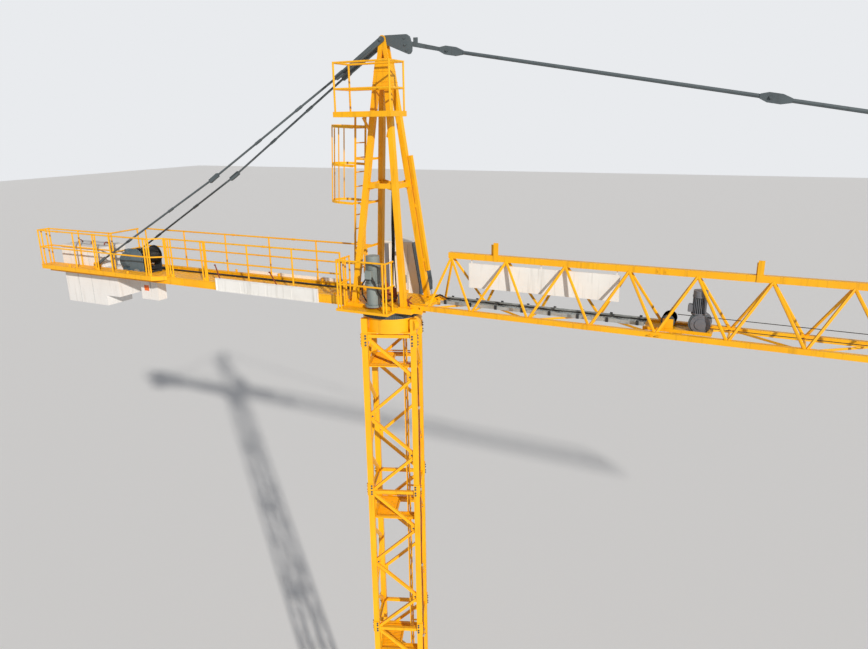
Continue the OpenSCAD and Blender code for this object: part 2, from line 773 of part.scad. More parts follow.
module counter_jib_deck() {
    out = [[-counter_len, -wide_half], [wide_x1, -wide_half], [wide_x1 + taper * 1.5, -deck_half],
        [wide_x1 + taper * 1.5, -inner_y - 4],
        [ballast_x1 + 60, -inner_y - 4], [ballast_x1 + 60, -inner_rail + 12], [-counter_len, -inner_rail + 12]];
    color(yellow) on_deck() {
        difference() {
            span_box([ballast_x1 + girder_w + 4, -inner_y + seat, floor_z], [-platform_l / 2 - seat, inner_y - seat, floor_z + floor_t]);
            for (side = [-1, 1]) span_box([counter_lug.x - 60, side * inner_y - 20, floor_z - 1], [counter_lug.x + 60, side * inner_y + 20, floor_z + floor_t + 1]);
        }
        translate([0, 0, girder_top + seat]) linear_extrude(8) polygon(out);
        translate([0, 0, girder_top - 48]) linear_extrude(50) polygon([[-counter_len, -wide_half],
            [wide_x1, -wide_half], [wide_x1 + taper * 1.5 - 14, -deck_half - seat], [wide_x1 + taper * 1.5 - 26, -deck_half - seat],
            [wide_x1 - 4, -wide_half + 8], [-counter_len, -wide_half + 8]]);
        for (x = [-counter_len : (wide_len - 8) / 5 : wide_x1])
            span_box([x, -wide_half + 4, girder_top - 40], [x + 8, -deck_half - seat, girder_top + 2]);
    }
    color(yellow) on_deck() for (side = [-1, 1], dy = [-lug_out, lug_out - lug_t])
        translate([0, side * counter_lug.y + dy + lug_t, 0]) rotate([90, 0, 0]) linear_extrude(lug_t) difference() {
            union() {
                translate([counter_lug.x, counter_lug.z]) circle(r = 32, $fn = 32);
                translate([counter_lug.x - 32, girder_top + seat + (side < 0 ? 6 : 0)]) square([64, counter_lug.z - girder_top - 6]);
            }
            translate([counter_lug.x, counter_lug.z]) circle(d = 25, $fn = 32);
        }
}

rail_in = rail_d / 2;
sheet_z = girder_top + 8 + 2 * seat;
cross_rail_x = ballast_x1 + girder_w + 24;

// Two posts side by side, where two lengths of railing meet
module twin_post(x, y, z0) {
    for (dx = [-22, 22]) post(x + dx, y, z0, rail_h - rail_d / 2);
}

// Short lengths of handrail and mid rail
module rail_link(a, b, z0) {
    for (z = [z0 + (rail_h - z0) / 2, rail_h - rail_d / 2]) rod([a.x, a.y, z], [b.x, b.y, z], rail_d, 8);
}

module counter_railing_near() {
    y0 = -wide_half + rail_in + 6;
    y1 = -deck_half + rail_in;
    x0 = -counter_len + rail_in;
    x1 = wide_x1 + taper * 1.5 - 14;
    z0 = sheet_z;
    z1 = girder_top + seat;
    z2 = floor_z + floor_t + seat;
    color(yellow) on_deck() {
        railing([[ballast_x1 + 44, -inner_rail + 2], [x0, -inner_rail + 2], [x0, y0], [wide_x1, y0], [x1, y1]], z0, rail_h - z0);
        rail_link([x1, y1], [x1 + 30, y1], z0);
        railing([[x1 + 30, y1], [-platform_l / 2 - 60, y1]], z1, rail_h - z1);
        twin_post(-4190, y0, z0);
        twin_post(wide_x1 - 60, y0, z0);
        for (x = [x1 + 90, -2440]) twin_post(x, y1, z1);
        for (y = [-inner_rail - 45, y0 + 45]) post(x0, y, z0, rail_h - rail_d / 2);
        rail_link([ballast_x1 + 44, -inner_rail + 2], [cross_rail_x, -inner_rail + 2], z0);
        railing([[cross_rail_x, -inner_y + 22], [cross_rail_x, inner_y - 22]], z2, rail_h - z2);
        rail_link([cross_rail_x, inner_y - 22], [cross_rail_x, inner_y], z2);
    }
}

module counter_railing_far() {
    y1 = deck_half - rail_in;
    z = girder_top + seat;
    color(yellow) on_deck() railing([[cross_rail_x + 80, y1], [-platform_l / 2 - 60, y1]], z, rail_h - z);
}

board_x0 = -platform_l / 2 - 360 - board_len;
board_z0 = girder_top - 104;

module name_boards() {
    color(white) on_deck() for (side = [-1, 1])
        span_box([board_x0, side > 0 ? deck_half + seat : -deck_half - seat - board_t, board_z0 - (side > 0 ? 16 : 0)],
            [board_x0 + board_len, side > 0 ? deck_half + seat + board_t : -deck_half - seat, board_z0 + board_h - (side > 0 ? 16 : 0)]);
}

// Ballast

slab_x0 = ballast_x0 + 143;
end_block_x0 = slab_x0 + slab_count * slab_t;
small_blocks = [[-counter_len + 1485, 165], [-counter_len + 1670, 120]];
small_block_top = floor_z - 4.3;

// The slabs hang through the deck by their shoulders
module ballast_blocks() {
    color(concrete) on_deck() {
        for (i = [0 : slab_count - 1]) translate([slab_x0 + i * slab_t, 0, 0]) {
            span_box([seat / 2, -slab_w / 2, -slab_low_h], [slab_t - seat / 2, slab_w / 2, slab_top_h]);
            span_box([6, -slab_w / 2 - 30, girder_top - 14 + seat], [slab_t - 6, slab_w / 2 + 30, girder_top]);
        }
        translate([0, slab_w / 2, 0]) rotate([90, 0, 0]) linear_extrude(slab_w) polygon([
            [end_block_x0 + seat / 2, -end_block_h], [end_block_x0 + end_block_l, -end_block_h],
            [end_block_x0 + end_block_l, girder_z - 4], [ballast_x1 - 5, girder_z - 4],
            [ballast_x1 - 5, girder_top - 3], [end_block_x0 + seat / 2, girder_top - 3]]);
        span_box([end_block_x0 + 6, -slab_w / 2 - 30, girder_top - 14 + seat], [ballast_x1 - 11, slab_w / 2 + 30, girder_top]);
        for (b = small_blocks)
            span_box([b[0], -small_block_w / 2, small_block_top - small_block_h], [b[0] + b[1], small_block_w / 2, small_block_top]);
    }
}

module ballast_frame() {
    y0 = slab_w / 2 + seat;
    y1 = inner_y - seat;
    a = small_blocks[0];
    b = small_blocks[1];
    color(dark_grey) on_deck() {
        for (side = [-1, 1])
            span_box([ballast_x0 - 10, side > 0 ? y0 : -y1, girder_z + 44.5], [ballast_x1 - 4, side > 0 ? y1 : -y0, girder_top - 14]);
        for (x = [[a[0] - 40, a[0] - seat], [a[0] + a[1] + seat, b[0] - seat], [b[0] + b[1] + seat, b[0] + b[1] + 40]])
            span_box([x[0], -y1, girder_z + 2], [x[1], y1, small_block_top]);
    }
}

// Hoist

hoist_x = -counter_len + 1595;
hoist_z = floor_z + floor_t + drum_d / 2 + 107;

module hoist_frame() {
    z0 = floor_z + floor_t + seat;
    color(black) on_deck() for (y = [-drum_len / 2 - 40, drum_len / 2 + 20]) difference() {
        translate([hoist_x, y + 20, 0]) rotate([90, 0, 0]) linear_extrude(20) union() {
            translate([-140, z0]) square([280, 40]);
            translate([-60, z0]) square([120, hoist_z - z0]);
            translate([0, hoist_z]) circle(r = 60, $fn = 32);
        }
        pin_y(hoist_x, hoist_z, 51, 2 * drum_len);
    }
}

module hoist_drum() {
    color(motor_blue) on_deck() translate([hoist_x, 0, hoist_z]) rotate([90, 0, 0]) {
        translate([0, 0, -drum_len / 2 - 38]) cylinder(h = drum_len + 76, d = 50, $fn = 32);
        translate([0, 0, -drum_len / 2]) cylinder(h = drum_len, d = drum_d, $fn = 48);
        for (z = [-drum_len / 2, drum_len / 2 - 12])
            translate([0, 0, z]) cylinder(h = 12, d = drum_d + 50, $fn = 48);
    }
}

// Motor and gearbox of the hoist, on a low frame between the drum and the ballast
module hoist_motor() {
    z0 = floor_z + floor_t + seat;
    x0 = cross_rail_x + 40;
    x1 = hoist_x - drum_d / 2 - 31;
    z = z0 + 45 + hoist_motor_d / 2;
    color(motor_blue) on_deck() {
        translate([x0, -60, z]) rotate([0, 90, 0]) cylinder(h = x1 - x0 - 80, d = hoist_motor_d, $fn = 48);
        translate([x1 - 84, -60, z]) rotate([0, 90, 0]) cylinder(h = 22, d = hoist_motor_d + 30, $fn = 48);
        span_box([x1 - 70, -150, z0], [x1, 60, z + hoist_motor_d / 2 + 20]);
        for (x = [x0 + 12, x0 + 68]) span_box([x, -140, z0], [x + 40, 30, z - hoist_motor_d / 2 + 12]);
    }
}

// Jib

module jib_top_chord() {
    h = top_chord / 2;
    color(yellow) on_deck() difference() {
        union() {
            span_box([first_node - h, -h, jib_h - h], [jib_end, h, jib_h + h]);
            for (i = [1, 5]) translate([node_x(i) - 130, -h - 8, jib_h - h])
                cube([50, 8, 190]);
            for (side = [-1, 1]) translate([tie_lug.x, side * 22, jib_h + h + 25])
                cube([110, 14, 80], center = true);
        }
        pin_y(tie_lug.x, tie_lug.y, 24, 200);
    }
}

module jib_bottom_chords() {
    h = bottom_chord / 2;
    color(yellow) on_deck() difference() {
        for (side = [-1, 1]) translate([0, side * jib_half, 0])
            span_box([pivot_x - 30, -h, -h], [jib_end, h, h]);
        pin_y(pivot_x, 0, 24, 2 * platform_w);
    }
}

module chord_space() {
    span_box([0, -top_chord / 2, jib_h - top_chord / 2], [jib_end + bay, top_chord / 2, jib_h + top_chord / 2]);
    for (side = [-1, 1]) span_box([0, side * jib_half - bottom_chord / 2, -bottom_chord / 2],
        [jib_end + bay, side * jib_half + bottom_chord / 2, bottom_chord / 2]);
}

module jib_side(side) {
    top_y = side * 22;
    top_z = jib_h - 22;
    color(yellow) on_deck() difference() {
        union() {
            rod([pivot_x + 80, side * jib_half, 0], [node_x(0), top_y, top_z], jib_bar);
            for (i = [0 : jib_bays - 1]) {
                rod([node_x(i), top_y, top_z], [node_x(i) + bay / 2, side * jib_half, 0], jib_bar);
                if (i > 0) rod([node_x(i) - bay / 2, side * jib_half, 0], [node_x(i), top_y, top_z], jib_bar);
            }
        }
        chord_space();
    }
}

module jib_side_near() { jib_side(-1); }
module jib_side_far() { jib_side(1); }

first_bar_x = pivot_x + 60;

module jib_bottom_bracing() {
    w = jib_bar * 0.8;
    color(yellow) on_deck() difference() {
        union() {
            rod([first_bar_x, -jib_half, 0], [first_bar_x, jib_half, 0], w);
            for (i = [0 : jib_bays - 1]) {
                x = node_x(i) + bay / 2;
                s = (i % 2 == 0) ? 1 : -1;
                rod([max(first_bar_x, x - bay), -s * jib_half, 0], [x, s * jib_half, 0], w);
                rod([x, -jib_half, 0], [x, jib_half, 0], w);
            }
        }
        chord_space();
    }
}

module jib_walkway() {
    x0 = 600;
    x1 = 2700;
    y0 = jib_half - bottom_chord / 2 - 12 - walk_w;
    z = jib_bar * 0.4 + seat;
    color(zinc) on_deck() {
        span_box([x0, y0, z], [x1, y0 + walk_w, z + 6]);
        for (y = [y0, y0 + walk_w - 4]) span_box([x0, y, z], [x1, y + 4, z + 34]);
    }
}

module jib_board() {
    x0 = 925;
    len = 1530;
    z0 = jib_h - 325;
    color(white) on_deck() span_box([x0, -board_t / 2, z0], [x0 + len, board_t / 2, z0 + 255]);
    color(zinc) on_deck() for (x = [x0 + 30, x0 + len / 2, x0 + len - 30])
        span_box([x - 5, -3, z0 + 255], [x + 5, 3, jib_h - top_chord / 2]);
}

winch_x = 3170;

module trolley_winch() {
    z = jib_bar * 0.4 * 0.911 + seat;
    color(yellow) on_deck() span_box([winch_x - 460, -130, z], [winch_x + 130, 130, z + 10]);
    color(dark_grey) on_deck() {
        translate([winch_x, 0, z + 10]) {
            cylinder(h = 370, d = 100, $fn = 32);
            translate([0, 70, 80]) rotate([90, 0, 0]) cylinder(h = 140, d = 160, $fn = 32);
        }
        translate([winch_x - 250, 90, z + 90]) rotate([90, 0, 0]) cylinder(h = 180, d = 120, $fn = 32);
        for (y = [-110, 90]) span_box([winch_x - 270, y, z + 10], [winch_x - 230, y + 20, z + 100]);
    }
}

module jib_head() {
    color(yellow) on_deck() {
        for (side = [-1, 1]) square_bar([jib_end + 20 + seat, side * jib_half, 0], [jib_end + 20 + seat, side * 20, jib_h], 32);
        span_box([jib_end + seat, -jib_half - 22, -20], [jib_end + 40 + seat, jib_half + 22, 20]);
        span_box([jib_end + seat + 2, -32, jib_h - 28], [jib_end + 38 + seat, 32, jib_h + 26]);
    }
}

trolley_x = node_x(trolley_node);
sheave_x = 60;
sheave_d = 100;
rope_x = sheave_x + sheave_d / 2 + rope_d / 2 + seat;

module trolley() {
    low = -bottom_chord / 2 - 90;
    color(yellow) on_deck() {
        for (side = [-1, 1]) span_box([trolley_x - 260, side * 110 - 12, low], [trolley_x + 260, side * 110 + 12, low + 50]);
        for (x = [-240, 240]) span_box([trolley_x + x - 20, -jib_half - 60, low], [trolley_x + x + 20, jib_half + 60, low + 40]);
        for (sx = [-1, 1], sy = [-1, 1]) span_box([trolley_x + sx * 240 - 20, sy * (jib_half + 50) - 10, low],
            [trolley_x + sx * 240 + 20, sy * (jib_half + 50) + 10, bottom_chord / 2 + 60]);
    }
    color(yellow) on_deck() for (sx = [-1, 1]) {
        for (side = [-1, 1]) span_box([trolley_x + sx * sheave_x - 20, side * 98 - (side > 0 ? 70 : 0), low + 4],
            [trolley_x + sx * sheave_x + 20, side * 98 + (side > 0 ? 0 : 70), low + 46]);
    }
    color(dark_grey) on_deck() for (sx = [-1, 1]) translate([trolley_x + sx * sheave_x, 28, low + 25])
        rotate([90, 0, 0]) cylinder(h = 56, d = sheave_d, $fn = 32);
    color(dark_grey) on_deck() for (sx = [-1, 1], sy = [-1, 1])
        translate([trolley_x + sx * 240, sy * jib_half + (sy > 0 ? 40 : -10), bottom_chord / 2 + 30 + seat])
            rotate([90, 0, 0]) cylinder(h = 30, d = 60, $fn = 32);
}

hook_z = -hook_drop;

module hook_block() {
    color(yellow) on_deck() for (side = [-1, 1]) translate([trolley_x, side * 26, hook_z]) rotate([90, 0, 0])
        translate([0, 0, -6]) linear_extrude(12) polygon([[-110, 60], [110, 60], [60, -110], [-60, -110]]);
    color(dark_grey) on_deck() {
        for (sx = [-1, 1]) translate([trolley_x + sx * sheave_x, 20, hook_z + 10])
            rotate([90, 0, 0]) cylinder(h = 40, d = sheave_d, $fn = 32);
        translate([trolley_x, 0, hook_z - 110]) cube([60, 40, 40], center = true);
    }
}

module ropes() {
    color(black) on_deck() {
        for (x = [-rope_x, rope_x]) rod([trolley_x + x, 0, hook_z + 10], [trolley_x + x, 0, -bottom_chord / 2 - 65], rope_d, 6);
    }
}

base_cross();
mast_chords();
mast_side_front();
mast_side_right();
mast_side_back();
mast_side_left();
mast_ladder();
mast_landings();
slew_support();
slew_ring_lower();
slew_ring_upper();
slewing_platform();
platform_railing();
slewing_gear();
head_legs();
head_beams();
head_top();
head_platform();
head_railing();
head_ladder();
jib_tie();
counter_ties();
spare_strut();
cab_body();
cab_windows();
counter_jib_frame();
counter_jib_deck();
counter_railing_near();
counter_railing_far();
hoist_frame();
hoist_motor();
hoist_drum();
ballast_frame();
ballast_blocks();
name_boards();
jib_top_chord();
jib_bottom_chords();
jib_side_near();
jib_side_far();
jib_bottom_bracing();
jib_walkway();
jib_board();
trolley_winch();
jib_head();
trolley();
hook_block();
ropes();
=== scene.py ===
# %% [markdown]
# A tower crane on a square lattice mast, as a half-size model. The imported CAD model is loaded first
# and stays as it is. Every piece made below is small work that a solid model leaves out: bolts,
# gratings, hoses, rope turns, window frames and lifting loops.

# %% Load the frame
import bpy, bmesh, json, math
from mathutils import Matrix, Vector


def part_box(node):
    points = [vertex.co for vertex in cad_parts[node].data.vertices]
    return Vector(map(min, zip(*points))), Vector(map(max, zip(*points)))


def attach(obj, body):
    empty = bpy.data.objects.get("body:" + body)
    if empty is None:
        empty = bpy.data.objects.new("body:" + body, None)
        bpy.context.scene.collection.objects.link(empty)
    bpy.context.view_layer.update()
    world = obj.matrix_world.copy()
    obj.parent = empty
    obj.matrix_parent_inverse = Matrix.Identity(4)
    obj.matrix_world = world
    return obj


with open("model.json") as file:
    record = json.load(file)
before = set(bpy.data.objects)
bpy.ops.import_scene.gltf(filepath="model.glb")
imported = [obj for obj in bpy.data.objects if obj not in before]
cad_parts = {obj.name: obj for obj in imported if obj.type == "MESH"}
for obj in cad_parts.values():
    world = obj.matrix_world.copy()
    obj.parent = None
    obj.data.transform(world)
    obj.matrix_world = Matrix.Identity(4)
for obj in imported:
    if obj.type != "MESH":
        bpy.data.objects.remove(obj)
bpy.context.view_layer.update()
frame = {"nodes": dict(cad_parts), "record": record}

# %% [markdown]
# The crane has two natural datums. The upper part is measured from the slewing deck, and the mast is
# turned 21 degrees under it. Two small functions give a point of either in metres, from millimetres.

# %% Datums
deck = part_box("head_legs")[0][2]
mast_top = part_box("mast_chords")[1][2]
mast_degrees = 21
mast_turn = Matrix.Rotation(math.radians(mast_degrees), 4, "Z")


def on_deck(x, y, z):
    return Vector((x / 1000, y / 1000, deck + z / 1000))


def on_mast(x, y, z):
    return mast_turn @ Vector((x / 1000, y / 1000, z / 1000))


print("deck at", round(deck, 3), "m, mast top at", round(mast_top, 3), "m")

# %% [markdown]
# Most of the fine steelwork is bars, round rods and bolts. Each is one bmesh shape, laid along a line
# from a start to an end, so that a fitting is drawn by naming the two points that it joins. To round
# a block, the edges at its corners are gathered, each of them once.

# %% Bars, rods and bolts


def along(start, end):
    run = end - start
    turn = run.to_track_quat("Z", "Y").to_matrix().to_4x4()
    return Matrix.Translation((start + end) / 2) @ turn, run.length


def bar(bm, start, end, width, depth=None):
    place, length = along(start, end)
    size = Matrix.Diagonal((width / 1000, (depth or width) / 1000, length, 1))
    return bmesh.ops.create_cube(bm, size=1, matrix=place @ size)["verts"]


def rod(bm, start, end, radius, sides=10):
    place, length = along(start, end)
    bmesh.ops.create_cone(bm, cap_ends=True, segments=sides, radius1=radius / 1000,
                          radius2=radius / 1000, depth=length, matrix=place)


def block(bm, low, high):
    low, high = Vector(low), Vector(high)
    middle, size = (low + high) / 2, high - low
    place = Matrix.Translation(middle) @ Matrix.Diagonal((abs(size.x), abs(size.y), abs(size.z), 1))
    return bmesh.ops.create_cube(bm, size=1, matrix=place)["verts"]


def bolt(bm, at, axis, radius, height):
    axis = Vector(axis).normalized() / 1000
    rod(bm, at, at + axis * height * 0.2, radius * 1.5, 12)
    rod(bm, at + axis * height * 0.2, at + axis * height, radius, 6)


def edges_of(verts):
    return list(dict.fromkeys(e for v in verts for e in v.link_edges))


def rounded(bm, verts, amount):
    bmesh.ops.bevel(bm, geom=edges_of(verts), offset=amount / 1000, offset_type="OFFSET",
                    segments=2, profile=0.5, affect="EDGES", material=-1)


def hose(bm, points, radius):
    for a, b in zip(points, points[1:]):
        rod(bm, a, b, radius, 8)
    for p in points[1:-1]:
        bmesh.ops.create_icosphere(bm, subdivisions=1, radius=radius / 1000, matrix=Matrix.Translation(p))


# %% [markdown]
# A finished bmesh becomes an object that rides on a body of the crane. Its origin stays at the
# origin of the frame, so its place is in its mesh.

# %% Make a piece
made = []


def piece(name, bm, material, body="upper_crane", smooth=False):
    bmesh.ops.recalc_face_normals(bm, faces=bm.faces)
    mesh = bpy.data.meshes.new(name)
    bm.to_mesh(mesh)
    bm.free()
    mesh.materials.append(material)
    if smooth:
        for polygon in mesh.polygons:
            polygon.use_smooth = True
    thing = bpy.data.objects.new(name, mesh)
    bpy.context.scene.collection.objects.link(thing)
    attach(thing, body)
    made.append(thing)
    print(name, len(mesh.polygons), "faces")


# %% [markdown]
# The camera stands where the photo was taken: level with the tower head, about six metres out from
# the crane's near side, and looking down along the counter-jib.

# %% Camera
camera_data = bpy.data.cameras.new("camera")
camera = bpy.data.objects.new("camera", camera_data)
bpy.context.scene.collection.objects.link(camera)
sensor_mm, focal_px, picture_px = 36, 687.743, 868
camera_data.sensor_width = sensor_mm
camera_data.lens = sensor_mm * focal_px / picture_px
camera_data.clip_end = 500
eye = Vector((3.667, -6.387, deck + 1.851))
yaw, pitch, roll = math.radians(-26.268), math.radians(16.324), math.radians(-0.766)
forward = Vector((math.sin(yaw) * math.cos(pitch), math.cos(yaw) * math.cos(pitch), -math.sin(pitch)))
right = Vector((math.cos(yaw), -math.sin(yaw), 0))
up = right.cross(forward)
right_rolled = right * math.cos(roll) + up * math.sin(roll)
up_rolled = up * math.cos(roll) - right * math.sin(roll)
facing = Matrix((right_rolled, up_rolled, -forward)).transposed().to_4x4()
camera.matrix_world = Matrix.Translation(eye) @ facing
bpy.context.scene.camera = camera
print("lens", round(camera_data.lens, 2), "mm")

# %% [markdown]
# The light is plain: one sun and an even pale surround. The sun stands low, out beyond the near side
# of the jib, where the shadows of the railing posts put it. The surround that the camera sees is
# paler than the one that lights the crane, so the crane stands clear of it and keeps its shadows.

# %% Colour and shader helpers


def linear(code):
    parts = [int(code[i:i + 2], 16) / 255 for i in (1, 3, 5)]
    return tuple(p / 12.92 if p <= 0.04045 else ((p + 0.055) / 1.055) ** 2.4 for p in parts) + (1,)


def add(tree, kind, values=None, links=None, **settings):
    node = tree.nodes.new(kind)
    for name, value in settings.items():
        setattr(node, name, value)
    for name, value in (values or {}).items():
        node.inputs[name].default_value = value
    for name, source in (links or {}).items():
        tree.links.new(source, node.inputs[name])
    return node


# %% Surround, floor and lamps
world = bpy.data.worlds.new("surround")
bpy.context.scene.world = world
world.use_nodes = True
tree = world.node_tree
tree.nodes.clear()
rays = add(tree, "ShaderNodeLightPath")
glossy = add(tree, "ShaderNodeMath", operation="MAXIMUM",
             links={0: rays.outputs["Is Camera Ray"], 1: rays.outputs["Is Glossy Ray"]})
seen = add(tree, "ShaderNodeMath", operation="MAXIMUM",
           links={0: glossy.outputs[0], 1: rays.outputs["Is Transmission Ray"]})
lighting = add(tree, "ShaderNodeBackground", {"Color": linear("#eef1f6"), "Strength": 0.30})
backdrop = add(tree, "ShaderNodeBackground", {"Color": linear("#e9ebee"), "Strength": 1.0})
both = add(tree, "ShaderNodeMixShader",
           links={0: seen.outputs[0], 1: lighting.outputs[0], 2: backdrop.outputs[0]})
add(tree, "ShaderNodeOutputWorld", links={"Surface": both.outputs[0]})

floor_material = bpy.data.materials.new("pale floor")
floor_material.use_nodes = True
shader = floor_material.node_tree.nodes["Principled BSDF"]
shader.inputs["Base Color"].default_value = linear("#f0f0f1")
shader.inputs["Roughness"].default_value = 0.9

floor_half, floor_drop = 160, 0.002
bm = bmesh.new()
bmesh.ops.create_grid(bm, x_segments=1, y_segments=1, size=floor_half,
                      matrix=Matrix.Translation((0, 0, -floor_drop)))
floor_mesh = bpy.data.meshes.new("floor")
bm.to_mesh(floor_mesh)
bm.free()
floor_mesh.materials.append(floor_material)
floor = bpy.data.objects.new("floor", floor_mesh)
bpy.context.scene.collection.objects.link(floor)

sun_data = bpy.data.lights.new("key", "SUN")
sun_data.energy = 3.35
sun_data.angle = math.radians(1.5)
sun_data.color = linear("#fffaf2")[:3]
sun = bpy.data.objects.new("key", sun_data)
bpy.context.scene.collection.objects.link(sun)
sunlight = Vector((-1.1, 1, -0.62))
sun.rotation_euler = sunlight.to_track_quat("-Z", "Y").to_euler()
bpy.context.scene.view_settings.view_transform = "Standard"

# %% [markdown]
# Every finish starts as a new material whose patterns are placed by Object coordinates, so that they
# stay still on the piece. One function makes that start.

# %% Start a finish
def finish(name):
    material = bpy.data.materials.new(name)
    material.use_nodes = True
    tree = material.node_tree
    place = add(tree, "ShaderNodeTexCoord").outputs["Object"]
    return material, tree, tree.nodes["Principled BSDF"], place


# %% [markdown]
# Crane paint is a two-part enamel, sprayed over primer. Outdoors it fades in broad patches, carries
# thin dirt runs down its sides, and rusts in specks where it is chipped. The runs come from a noise
# that is stretched in height, and the specks from a fine noise that only its peaks let through.

# %% Sprayed enamel
patch_mm, run_mm, chip_mm = 420, 45, 38
rust = "#5a2c12"


def enamel(name, clean, faded, dirt, rust_share=0.5, roughness=0.42):
    material, tree, shader, place = finish(name)
    patches = add(tree, "ShaderNodeTexNoise", {"Scale": 1000 / patch_mm, "Detail": 5, "Roughness": 0.6},
                  {"Vector": place})
    patch_ramp = add(tree, "ShaderNodeMapRange", {"From Min": 0.35, "From Max": 0.75},
                     {"Value": patches.outputs["Fac"]})
    colour = add(tree, "ShaderNodeMix", {6: linear(clean), 7: linear(faded)}, {0: patch_ramp.outputs[0]},
                 data_type="RGBA")
    stretched = add(tree, "ShaderNodeMapping", {"Scale": (1, 1, 0.09)}, {"Vector": place})
    runs = add(tree, "ShaderNodeTexNoise", {"Scale": 1000 / run_mm, "Detail": 3, "Roughness": 0.55},
               {"Vector": stretched.outputs[0]})
    run_ramp = add(tree, "ShaderNodeMapRange", {"From Min": 0.56, "From Max": 0.86, "To Max": 0.5},
                   {"Value": runs.outputs["Fac"]})
    dirty = add(tree, "ShaderNodeMix", {7: linear(dirt)}, {0: run_ramp.outputs[0], 6: colour.outputs[2]},
                data_type="RGBA")
    chips = add(tree, "ShaderNodeTexNoise", {"Scale": 1000 / chip_mm, "Detail": 7, "Roughness": 0.7},
                {"Vector": place})
    peak = 0.74 - 0.08 * rust_share
    chip_ramp = add(tree, "ShaderNodeMapRange", {"From Min": peak, "From Max": peak + 0.03, "To Max": 0.9},
                    {"Value": chips.outputs["Fac"]})
    chipped = add(tree, "ShaderNodeMix", {7: linear(rust)}, {0: chip_ramp.outputs[0], 6: dirty.outputs[2]},
                  data_type="RGBA")
    tree.links.new(chipped.outputs[2], shader.inputs["Base Color"])
    dull = add(tree, "ShaderNodeMapRange", {"To Min": roughness - 0.06, "To Max": roughness + 0.22},
               {"Value": patches.outputs["Fac"]})
    tree.links.new(dull.outputs[0], shader.inputs["Roughness"])
    lumps = add(tree, "ShaderNodeBump", {"Strength": 0.25, "Distance": 0.002},
                {"Height": chips.outputs["Fac"]})
    tree.links.new(lumps.outputs[0], shader.inputs["Normal"])
    shader.inputs["IOR"].default_value = 1.5
    return material


yellow = enamel("yellow crane enamel", "#f9b800", "#f2a800", "#8a5a10", 0.35)
white = enamel("white sheet enamel", "#eeedea", "#e2e0dc", "#8d887c", 0.1)
tie_grey = enamel("grey tie-bar paint", "#4a5358", "#5a6468", "#2c2a26", 0.8, 0.5)
motor_blue = enamel("blue-grey motor enamel", "#50626c", "#62747e", "#26292b", 0.5, 0.4)
black_steel_and_shade = enamel("black chassis paint and painted shade", "#26282a", "#34373a", "#15120f", 0.7, 0.5)
red_lead = enamel("red-brown primer", "#7a3320", "#8c4228", "#3a1c12", 0.9, 0.6)
signal_orange = enamel("orange safety enamel", "#e8641a", "#f07a2c", "#6a3414", 0.3, 0.45)
slate = enamel("slate-grey trim and painted shade", "#6d6f76", "#7c7e84", "#3c3c3e", 0.2, 0.45)
drive_grey = enamel("grey-green drive enamel", "#7b8583", "#8b9593", "#3a3c38", 0.4, 0.42)
print(len(bpy.data.materials), "materials so far")

# %% [markdown]
# Window glass is tinted and smooth, with a thin uneven film. Concrete ballast is cast in steel forms:
# it is pale, with pores and dark runs from rain.

# %% Glass and concrete
glass, tree, shader, place = finish("tinted float glass")
film = add(tree, "ShaderNodeTexNoise", {"Scale": 6, "Detail": 4}, {"Vector": place})
film_ramp = add(tree, "ShaderNodeMapRange", {"To Min": 0.04, "To Max": 0.22},
                {"Value": film.outputs["Fac"]})
tree.links.new(film_ramp.outputs[0], shader.inputs["Roughness"])
tint = add(tree, "ShaderNodeMix", {6: linear("#2b353a"), 7: linear("#3d4a50")}, {0: film.outputs["Fac"]},
           data_type="RGBA")
tree.links.new(tint.outputs[2], shader.inputs["Base Color"])
shader.inputs["IOR"].default_value = 1.52

concrete, tree, shader, place = finish("cast ballast concrete")
clouds = add(tree, "ShaderNodeTexNoise", {"Scale": 3.2, "Detail": 8, "Roughness": 0.65}, {"Vector": place})
body = add(tree, "ShaderNodeMix", {6: linear("#ecebea"), 7: linear("#dcdad7")}, {0: clouds.outputs["Fac"]},
           data_type="RGBA")
stretched = add(tree, "ShaderNodeMapping", {"Scale": (1, 1, 0.12)}, {"Vector": place})
rain = add(tree, "ShaderNodeTexNoise", {"Scale": 14, "Detail": 4}, {"Vector": stretched.outputs[0]})
rain_ramp = add(tree, "ShaderNodeMapRange", {"From Min": 0.52, "From Max": 0.8, "To Max": 0.45},
                {"Value": rain.outputs["Fac"]})
wet = add(tree, "ShaderNodeMix", {7: linear("#aaa197")}, {0: rain_ramp.outputs[0], 6: body.outputs[2]},
          data_type="RGBA")
pores = add(tree, "ShaderNodeTexVoronoi", {"Scale": 45}, {"Vector": place})
pore_ramp = add(tree, "ShaderNodeMapRange",
                {"From Min": 0.06, "From Max": 0.14, "To Min": 0.55, "To Max": 0.0},
                {"Value": pores.outputs["Distance"]})
pored = add(tree, "ShaderNodeMix", {7: linear("#8d847a")}, {0: pore_ramp.outputs[0], 6: wet.outputs[2]},
            data_type="RGBA")
tree.links.new(pored.outputs[2], shader.inputs["Base Color"])
rough = add(tree, "ShaderNodeBump", {"Strength": 0.4, "Distance": 0.003}, {"Height": clouds.outputs["Fac"]})
tree.links.new(rough.outputs[0], shader.inputs["Normal"])
shader.inputs["Roughness"].default_value = 0.9
